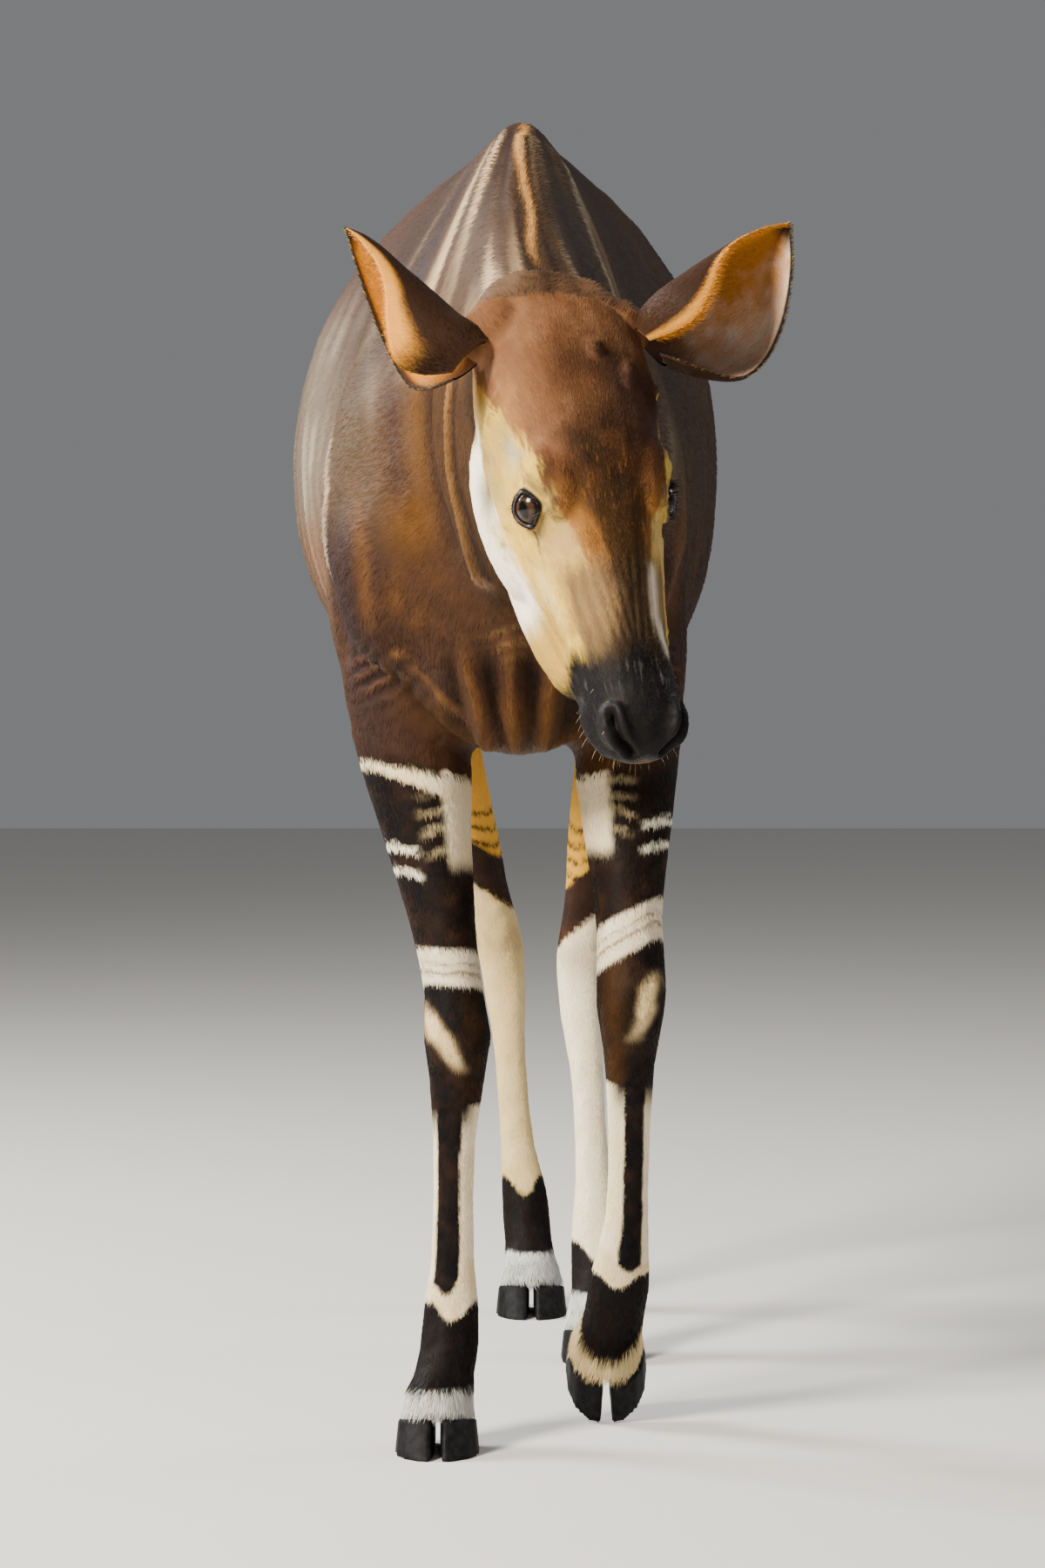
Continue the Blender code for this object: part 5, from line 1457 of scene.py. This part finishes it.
def strands(name, root, way, bend, length, width, colour, slot_name, material, uv):
    """Thin round hairs of four spans that bend towards a direction and end in points."""
    spans, around = 4, 3
    side = unit(np.cross(way, bend) + 1e-6)
    rows = []
    for i in range(spans + 1):
        t = i / spans
        middle = root + way * (length * t)[:, None] + bend * (length * t * t)[:, None]
        tangent = unit(way + bend * 2 * t)
        across = unit(np.cross(tangent, np.cross(side, tangent)))
        up = np.cross(tangent, across)
        girth = width * (1 - t) ** 0.7 + 0.00005
        for k in range(around):
            angle = 2 * math.pi * k / around
            rows.append(middle + (across * math.cos(angle) + up * math.sin(angle)) * girth)
    co = np.stack(rows, 1).reshape(-1, 3)
    pattern = []
    for i in range(spans):
        for k in range(around):
            a, b = around * i + k, around * i + (k + 1) % around
            pattern += [(a, b, b + around), (a, b + around, a + around)]
    pattern.append(tuple(around * spans + k for k in range(around)))
    per = around * (spans + 1)
    faces = (np.arange(len(root))[:, None, None] * per + np.array(pattern)[None]).reshape(-1, 3)
    mesh = mesh_from(name, co, faces)
    tone = np.tile(np.repeat(np.linspace(0.8, 1.15, spans + 1), around), len(root))
    paint(mesh, np.clip(np.repeat(colour, per, 0) * tone[:, None], 0.001, 1))
    patch = np.tile(np.repeat(np.linspace(0, 0.003, spans + 1), around), len(root))
    place = np.repeat(uv, per, 0)
    place[:, 1] += patch
    place[:, 0] += np.tile((0.0, 0.001, 0.002), (spans + 1) * len(root))
    unwrap(mesh, place)
    add_piece(name, mesh, material, slot_name)


def ear_fringe(side, outer, inner, axis, opening, lobe, material, chance):
    """Long hairs from the straight edge across the opening, and short dark ones on the lobed edge."""
    rows = len(outer)
    edge = inner[:, 0]
    low_edge = outer[:, -1]
    t = np.linspace(0, 1, rows)
    count = 300 if side == "right" else 1100
    where = chance.uniform(0.05, 0.93, count)
    root = np.stack([np.interp(where, t, edge[:, k]) for k in range(3)], 1)
    root += chance.normal(0, 0.0010, (count, 3))
    way = unit(lobe * 0.80 + axis * 0.62 + opening * 0.05 + chance.normal(0, 0.10, (count, 3)))
    bend = np.tile(-opening * 0.28 + axis * 0.10, (count, 1)) + chance.normal(0, 0.04, (count, 3))
    length = chance.uniform(0.005, 0.011, count) * (1.1 - 0.5 * where)
    colour = mix(np.tile((0.36, 0.14, 0.025), (count, 1)), EAR_ORANGE, chance.uniform(0, 1, count))
    uv = np.stack([np.full(count, 0.1), 0.05 + 0.9 * where], 1)
    strands("ear_" + side + "_fringe", root + MOVE, way, bend, length, FRINGE_THICK, colour,
            "coat_ear", material, uv)
    count = 900
    where = chance.uniform(0.04, 0.99, count)
    root = np.stack([np.interp(where, t, low_edge[:, k]) for k in range(3)], 1)
    way = unit(lobe * 0.35 + axis * 0.90 + chance.normal(0, 0.12, (count, 3)))
    bend = np.tile(axis * 0.2, (count, 1))
    length = chance.uniform(0.0015, 0.0040, count)
    dark = mix(np.tile((0.03, 0.018, 0.014), (count, 1)), CREAM, (chance.random(count) < 0.2) * 0.6)
    uv = np.stack([np.full(count, 0.6), 0.05 + 0.9 * where], 1)
    strands("ear_" + side + "_rim", root + MOVE, way, bend, length, RIM_THICK, dark,
            "coat_ear", material, uv)


# Eyes, lashes, whiskers

def out_of_head(place):
    """A point from the head's own frame to the frame's coordinates."""
    return HEAD_TURN @ place + HEAD_FRAME[:3, 3] + MOVE


def eye_ways(sign):
    """Ways out of one eye, forward and up, in the frame's coordinates."""
    return (HEAD_TURN @ way for way in eye_axes(sign))


def eye_point(sign, along, up, radius):
    """A point on one eye in the frame's coordinates, by angles in degrees."""
    outward, forward, upward = eye_axes(sign)
    way = outward + forward * math.tan(math.radians(along)) + upward * math.tan(math.radians(up))
    way = way / np.linalg.norm(way)
    return out_of_head(eye_centre(sign) + way * radius)


def eyes(ball_look, lid_look, hair):
    """Both eyeballs with iris and pupil, and round them the lids' rims and lashes."""
    chance = np.random.default_rng(5)
    for side, sign in SIDES:
        middle = HEAD_POSE @ Vector(eye_centre(sign)) + SHIFT
        outward, forward, upward = eye_ways(sign)
        shape = bmesh.new()
        bmesh.ops.create_uvsphere(shape, u_segments=64, v_segments=48, radius=EYE_RADIUS - 0.0004)
        turn = Matrix((tuple(forward), tuple(upward), tuple(outward))).transposed()
        shape.transform(turn.to_4x4())
        shape.transform(Matrix.Translation(middle))
        mesh = mesh_of("eye_" + side + "_ball", shape)
        co = points_of(mesh) - np.array(middle)
        way = unit(co)
        fore, high = way @ forward, way @ upward
        rim = np.degrees(np.arccos(np.clip(way @ outward, -1, 1)))
        pupil = np.sqrt((fore / 0.40) ** 2 + (high / 0.24) ** 2)
        fine = cloud(co, 0.002, 7)
        iris = mix((0.060, 0.028, 0.014), (0.020, 0.011, 0.007), fine)
        colour = mix(iris, (0.002, 0.002, 0.002), soft(1.15, 0.95, pupil))
        colour = mix(colour, (0.006, 0.005, 0.005), soft(30, 35, rim))
        colour = mix(colour, (0.050, 0.036, 0.030), soft(46, 54, rim))
        paint(mesh, colour)
        add_piece("eye_" + side + "_ball", mesh, ball_look, "eye", "eye_" + side)
        lid_band(side, sign, lid_look)
        lashes(side, sign, hair, chance)


def lid_edge(turn):
    """Angles of a point on the edge of the eye's opening, a turn round it in radians."""
    cos, sin = math.cos(turn), math.sin(turn)
    high = LID_UP if sin > 0 else LID_DOWN
    power = 2 / LID_POWER
    return (LID_SHIFT + LID_LONG * math.copysign(abs(cos) ** power, cos),
            high * math.copysign(abs(sin) ** power, sin))


def lid_band(side, sign, material):
    """The wet dark rim of the lids, a thin rounded band that follows the opening."""
    steps, sides, lift = 72, 8, 0.0009
    shape = bmesh.new()
    rings = []
    for i in range(steps):
        along, up = lid_edge(2 * math.pi * i / steps)
        middle = eye_point(sign, along * 1.03, up * 1.04, EYE_RADIUS + lift)
        outside = eye_point(sign, along * 1.25, up * 1.25, EYE_RADIUS + lift)
        out = unit(outside - middle)
        away = unit(middle - eye_point(sign, 0, 0, 0))
        away = unit(away - out * (away @ out))
        ring = []
        for k in range(sides):
            angle = 2 * math.pi * k / sides
            spot = middle + out * (0.0019 * math.cos(angle)) + away * (0.0014 * math.sin(angle))
            ring.append(shape.verts.new(spot))
        rings.append(ring)
    for ring, following in zip(rings, rings[1:] + rings[:1]):
        for k in range(sides):
            after = (k + 1) % sides
            shape.faces.new((ring[k], ring[after], following[after], following[k]))
    bmesh.ops.recalc_face_normals(shape, faces=shape.faces)
    name = "eye_" + side + "_rim"
    add_piece(name, mesh_of(name, shape), material, "coat_face")


def lashes(side, sign, material, chance):
    """Long upper and short lower lashes of one eye."""
    outward, forward, upward = eye_ways(sign)
    roots, ways, bends, lengths = [], [], [], []
    for _ in range(170):
        turn = math.radians(chance.uniform(8, 172))
        along, up = lid_edge(turn)
        roots.append(eye_point(sign, along * 1.05, up * 1.06, EYE_RADIUS + chance.uniform(0.0013, 0.0024)))
        ways.append(unit(outward * 0.85 + upward * (0.30 * math.sin(turn) - 0.45)
                         + forward * 0.35 * math.cos(turn) + chance.normal(0, 0.10, 3)))
        bends.append(upward * 0.30 + outward * 0.05)
        lengths.append(chance.uniform(0.008, 0.015) * (0.5 + 0.5 * math.sin(turn)))
    for _ in range(60):
        along, up = lid_edge(math.radians(chance.uniform(190, 350)))
        roots.append(eye_point(sign, along * 1.05, up * 1.06, EYE_RADIUS + 0.0016))
        ways.append(unit(outward * 0.7 - upward * 0.5 + chance.normal(0, 0.12, 3)))
        bends.append(-upward * 0.15)
        lengths.append(chance.uniform(0.003, 0.006))
    count = len(roots)
    pale = (chance.random(count) < 0.15) * 0.7
    colour = mix(np.tile((0.012, 0.010, 0.010), (count, 1)), (0.25, 0.22, 0.20), pale)
    uv = np.stack([np.full(count, 0.5), np.linspace(0.05, 0.95, count)], 1)
    strands("eye_" + side + "_lashes", np.array(roots), np.array(ways), np.array(bends), np.array(lengths),
            LASH_THICK, colour, "coat_face", material, uv)


def whiskers(tree, material):
    """Pale hairs on the chin and lips, dark ones on the muzzle."""
    chance = np.random.default_rng(31)
    roots, ways, bends, lengths, colours = [], [], [], [], []
    while len(roots) < 170:
        low = chance.random() < 0.6
        s = chance.uniform(0.385, 0.475)
        angle = math.radians(chance.uniform(95, 180) if low else chance.uniform(35, 125))
        angle *= 1 if chance.random() < 0.5 else -1
        start = np.array((0.0, -s, -0.070))
        way = np.array((math.sin(angle), -0.35 if low else -0.2, math.cos(angle)))
        hit, normal, _, distance = tree.ray_cast(Vector(out_of_head(start)), Vector(HEAD_TURN @ unit(way)))
        if hit is None or distance > 0.09:
            continue
        normal = np.array(normal)
        down = HEAD_TURN @ np.array((0, -0.8, -0.5))
        roots.append(np.array(hit))
        ways.append(unit(normal * 0.8 + down * 0.6 + chance.normal(0, 0.15, 3)))
        bends.append(down * 0.25)
        lengths.append(chance.uniform(0.005, 0.011) if low else chance.uniform(0.003, 0.007))
        pale = chance.random() < (0.55 if low else 0.15)
        colours.append((0.40, 0.33, 0.22) if pale else (0.02, 0.018, 0.018))
    count = len(roots)
    uv = np.stack([np.full(count, 0.5), np.linspace(0.02, 0.98, count)], 1)
    strands("whiskers", np.array(roots), np.array(ways), np.array(bends), np.array(lengths),
            WHISKER_THICK, np.array(colours), "coat_face", material, uv)


def tail_tuft(material):
    """Locks of long dark hair that hang from the tail's tip, thick above and thin below."""
    chance = np.random.default_rng(41)
    count = 2600
    height = chance.uniform(0.90, 1.02, count)
    angle = chance.uniform(0, 2 * math.pi, count)
    lock = np.round(angle / 0.55) * 0.55
    middle = np.stack([0.004 + 0.003 * (height - 0.93) / 0.08, np.full(count, 1.2695), height], 1)
    out = np.stack([np.cos(angle), np.sin(angle), np.zeros(count)], 1)
    gather = np.stack([np.cos(lock), np.sin(lock), np.zeros(count)], 1)
    root = middle + out * 0.0095 * chance.uniform(0.5, 1.0, count)[:, None]
    way = unit(np.array((0, 0, -1.0)) + out * 0.12 + gather * 0.10 + chance.normal(0, 0.035, (count, 3)))
    bend = (gather - out) * 0.10 - gather * 0.06
    length = np.minimum(chance.uniform(0.075, 0.150, count), height - 0.792)
    colour = mix(np.tile((0.016, 0.011, 0.009), (count, 1)), CHOCOLATE, chance.uniform(0, 0.8, count))
    uv = np.stack([(angle / (2 * math.pi)).clip(0.01, 0.98), 0.02 + 0.9 * (height - 0.90) / 0.12], 1)
    strands("tail_tuft", root + MOVE, way, bend, length, TAIL_THICK, colour, "coat_tail", material, uv)


# Hooves

def hooves(material):
    """The claws with even faces and softened edges."""
    for foot in ("fore_right", "fore_left", "hind_right", "hind_left"):
        for part in ("inner", "outer"):
            source = f"claw_{foot}_{part}"
            shape = bmesh.new()
            shape.from_mesh(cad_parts[source].data)
            bmesh.ops.remove_doubles(shape, verts=shape.verts, dist=1e-6)
            bmesh.ops.dissolve_limit(shape, angle_limit=math.radians(3), verts=shape.verts,
                                     edges=shape.edges)
            name = f"hoof_{foot}_{part}"
            mesh = remeshed(mesh_of(name, shape), HOOF_VOXEL, 3)
            mesh.shade_smooth()
            add_piece(name, mesh, material, "horn", source)


# Materials

def join(material, socket, source):
    """Links a node's input to another node's output, or sets it to a number."""
    if isinstance(source, bpy.types.NodeSocket):
        material.node_tree.links.new(source, socket)
    else:
        socket.default_value = source


def feed(material, target, **inputs):
    """Joins the named inputs of a node, with _ for each space in a name."""
    for key, source in inputs.items():
        join(material, target.inputs[key.replace("_", " ")], source)


def shader_of(name, **inputs):
    """A new material and its shader."""
    made = bpy.data.materials.new(name)
    made.use_nodes = True
    shader = made.node_tree.nodes["Principled BSDF"]
    feed(made, shader, **inputs)
    return made, shader


def node(material, kind, **inputs):
    made = material.node_tree.nodes.new("ShaderNode" + kind)
    feed(material, made, **inputs)
    return made


def vector_math(material, operation, *sources, **inputs):
    """Output of a vector node whose first inputs are given in order."""
    made = node(material, "VectorMath")
    made.operation = operation
    for socket, source in zip(made.inputs, sources):
        join(material, socket, source)
    feed(material, made, **inputs)
    return made.outputs["Value" if operation == "DOT_PRODUCT" else "Vector"]


def attribute(material, name, output="Color"):
    """Output with the values of a mesh attribute."""
    made = node(material, "Attribute")
    made.attribute_name = name
    return made.outputs[output]


def bump(material, shader, height, strength, distance):
    """Raises the shader's surface by the height."""
    raised = node(material, "Bump", Height=height, Strength=strength, Distance=distance)
    feed(material, shader, Normal=raised.outputs["Normal"])


def ramp(material, share, colours, places=(0.0, 1.0)):
    """Output that goes from one colour to the other between two places of the share."""
    made = node(material, "ValToRGB", Fac=share)
    for element, colour, place in zip(made.color_ramp.elements, colours, places):
        element.position = place
        element.color = (*colour, 1)
    return made.outputs["Color"]


def hair_grain(material, direction, scale):
    """Noise drawn out along a direction, like short hair lying that way."""
    place = node(material, "TexCoord").outputs["Object"]
    along = vector_math(material, "DOT_PRODUCT", place, direction)
    squeeze = vector_math(material, "SCALE", direction * 0.90, Scale=along)
    rest = vector_math(material, "SUBTRACT", place, squeeze)
    noise = node(material, "TexNoise", Vector=rest, Scale=scale, Detail=2.0, Roughness=0.55)
    return noise.outputs["Fac"]


def choose(material, name, a, b):
    """Shader value a, or b where the mesh attribute is 1."""
    pick = node(material, "Mix")
    for index, source in ((0, attribute(material, name, "Fac")), (2, a), (3, b)):
        join(material, pick.inputs[index], source)
    return pick.outputs[0]


def coat_material(name, roughness):
    """Dull hair in the coat's colours with a slight sheen."""
    made, shader = shader_of(name, Roughness=roughness, Specular_IOR_Level=0.06,
                             Sheen_Weight=0.02, Sheen_Roughness=0.40)
    feed(made, shader, Base_Color=attribute(made, "coat"))
    return made


def skin_material():
    """Short coat that lies flat: the coat's colours over fine streaks, moist and leathery where bare."""
    made, shader = shader_of("skin", Specular_IOR_Level=0.07)
    face = Vector(HEAD_FRAME[:3, 1]).normalized()
    streaks = hair_grain(made, Vector(TRUNK_LIE), 900.0)
    for name, direction, scale in (("on_head", face, 1500.0), ("on_leg", Vector((0, 0, 1)), 1000.0)):
        streaks = choose(made, name, streaks, hair_grain(made, direction, scale))
    vary = node(made, "MapRange", Value=streaks, From_Min=0.25, From_Max=0.75, To_Min=0.82, To_Max=1.14)
    colour = vector_math(made, "SCALE", attribute(made, "coat"), Scale=vary.outputs["Result"])
    gloss = node(made, "MapRange", Value=attribute(made, "bare", "Fac"), To_Min=0.58, To_Max=0.46)
    feed(made, shader, Base_Color=colour, Roughness=gloss.outputs["Result"])
    bump(made, shader, streaks, 0.45, 0.0010)
    return made


def eye_material():
    """Wet eyeball in the colours painted on it."""
    made, shader = shader_of("eye", Roughness=0.15, Coat_Weight=1.0, Coat_Roughness=0.02,
                             Coat_IOR=1.24, Specular_IOR_Level=0.15)
    feed(made, shader, Base_Color=attribute(made, "coat"))
    return made


def lid_material():
    """Moist dark rim of the lids with a fine grain."""
    made, shader = shader_of("lid_rim", Roughness=0.25, Coat_Weight=0.4)
    place = node(made, "TexCoord").outputs["Object"]
    noise = node(made, "TexNoise", Vector=place, Scale=900.0, Detail=4.0, Roughness=0.6).outputs["Fac"]
    bump(made, shader, noise, 0.2, 0.0005)
    feed(made, shader, Base_Color=ramp(made, noise, ((0.012, 0.009, 0.009), (0.050, 0.034, 0.030))))
    return made


def horn_material():
    """Near-black horn with faint growth rings round the claw and a fine grain."""
    made, shader = shader_of("horn", Roughness=0.60, Specular_IOR_Level=0.10)
    place = node(made, "TexCoord").outputs["Object"]
    rings = node(made, "TexWave", Vector=place, Scale=90.0, Distortion=2.5, Detail=2.0)
    rings.bands_direction = "Z"
    noise = node(made, "TexNoise", Vector=place, Scale=120.0, Detail=5.0).outputs["Fac"]
    colours = ((0.0015, 0.0016, 0.0020), (0.010, 0.010, 0.011))
    feed(made, shader, Base_Color=ramp(made, noise, colours, (0.35, 0.75)))
    bump(made, shader, rings.outputs["Fac"], 0.08, 0.0004)
    return made


# Stage, lights and camera

def stage():
    """Floor, even light all round and four lamps."""
    shape = bmesh.new()
    bmesh.ops.create_grid(shape, x_segments=1, y_segments=1, size=FLOOR_HALF)
    mesh = bpy.data.meshes.new("floor")
    shape.to_mesh(mesh)
    shape.free()
    floor = put("floor", mesh)
    look, _ = shader_of("floor", Base_Color=(0.62, 0.61, 0.59, 1), Roughness=0.8)
    floor.data.materials.append(look)
    world = bpy.data.worlds.new("studio")
    world.use_nodes = True
    feed(world, world.node_tree.nodes["Background"], Color=(0.86, 0.88, 0.90, 1), Strength=0.23)
    bpy.context.scene.world = world
    lamp("key", (-3.4, -3.4, 3.9), 1.5, 950, (1.0, 0.92, 0.79))
    lamp("fill", (3.6, -4.0, 2.2), 3.0, 36, (0.93, 0.96, 1.0))
    lamp("back_left", (-3.6, 1.8, 3.4), 1.6, 430, (1.0, 0.98, 0.95))
    lamp("back_right", (3.2, 1.6, 3.0), 1.6, 60, (1.0, 0.96, 0.90))


def lamp(name, place, size, power, colour):
    """A square lamp that shines on the middle of the body."""
    light = bpy.data.lights.new(name, "AREA")
    light.size = size
    light.energy = power
    light.color = colour
    made = put(name, light)
    made.location = Vector(place) + SHIFT
    aim = Vector(LAMP_AIM) + SHIFT - made.location
    made.rotation_euler = aim.to_track_quat("-Z", "Y").to_euler()


def camera():
    lens = bpy.data.cameras.new("camera")
    lens.lens = LENS
    lens.sensor_width = SENSOR_WIDTH
    lens.clip_end = 100
    made = put("camera", lens)
    made.location = Vector(CAMERA_PLACE) + SHIFT
    made.rotation_euler = (math.radians(90 - CAMERA_TILT), 0, 0)
    bpy.context.scene.camera = made


def main():
    camera()
    stage()
    skin_look = skin_material()
    fur = coat_material("coat", 0.60)
    hair = coat_material("long_hair", 0.45)
    skin_mesh, co, tri, n, way, region = build_skin()
    add_piece("skin", skin_mesh, skin_look, "coat_body", *FLESH)
    dress(co, tri, n, way, region, fur)
    ears(skin_look, fur, hair)
    eyes(eye_material(), lid_material(), hair)
    whiskers(BVHTree.FromPolygons(co.tolist(), tri.tolist()), hair)
    tail_tuft(hair)
    hooves(horn_material())


main()
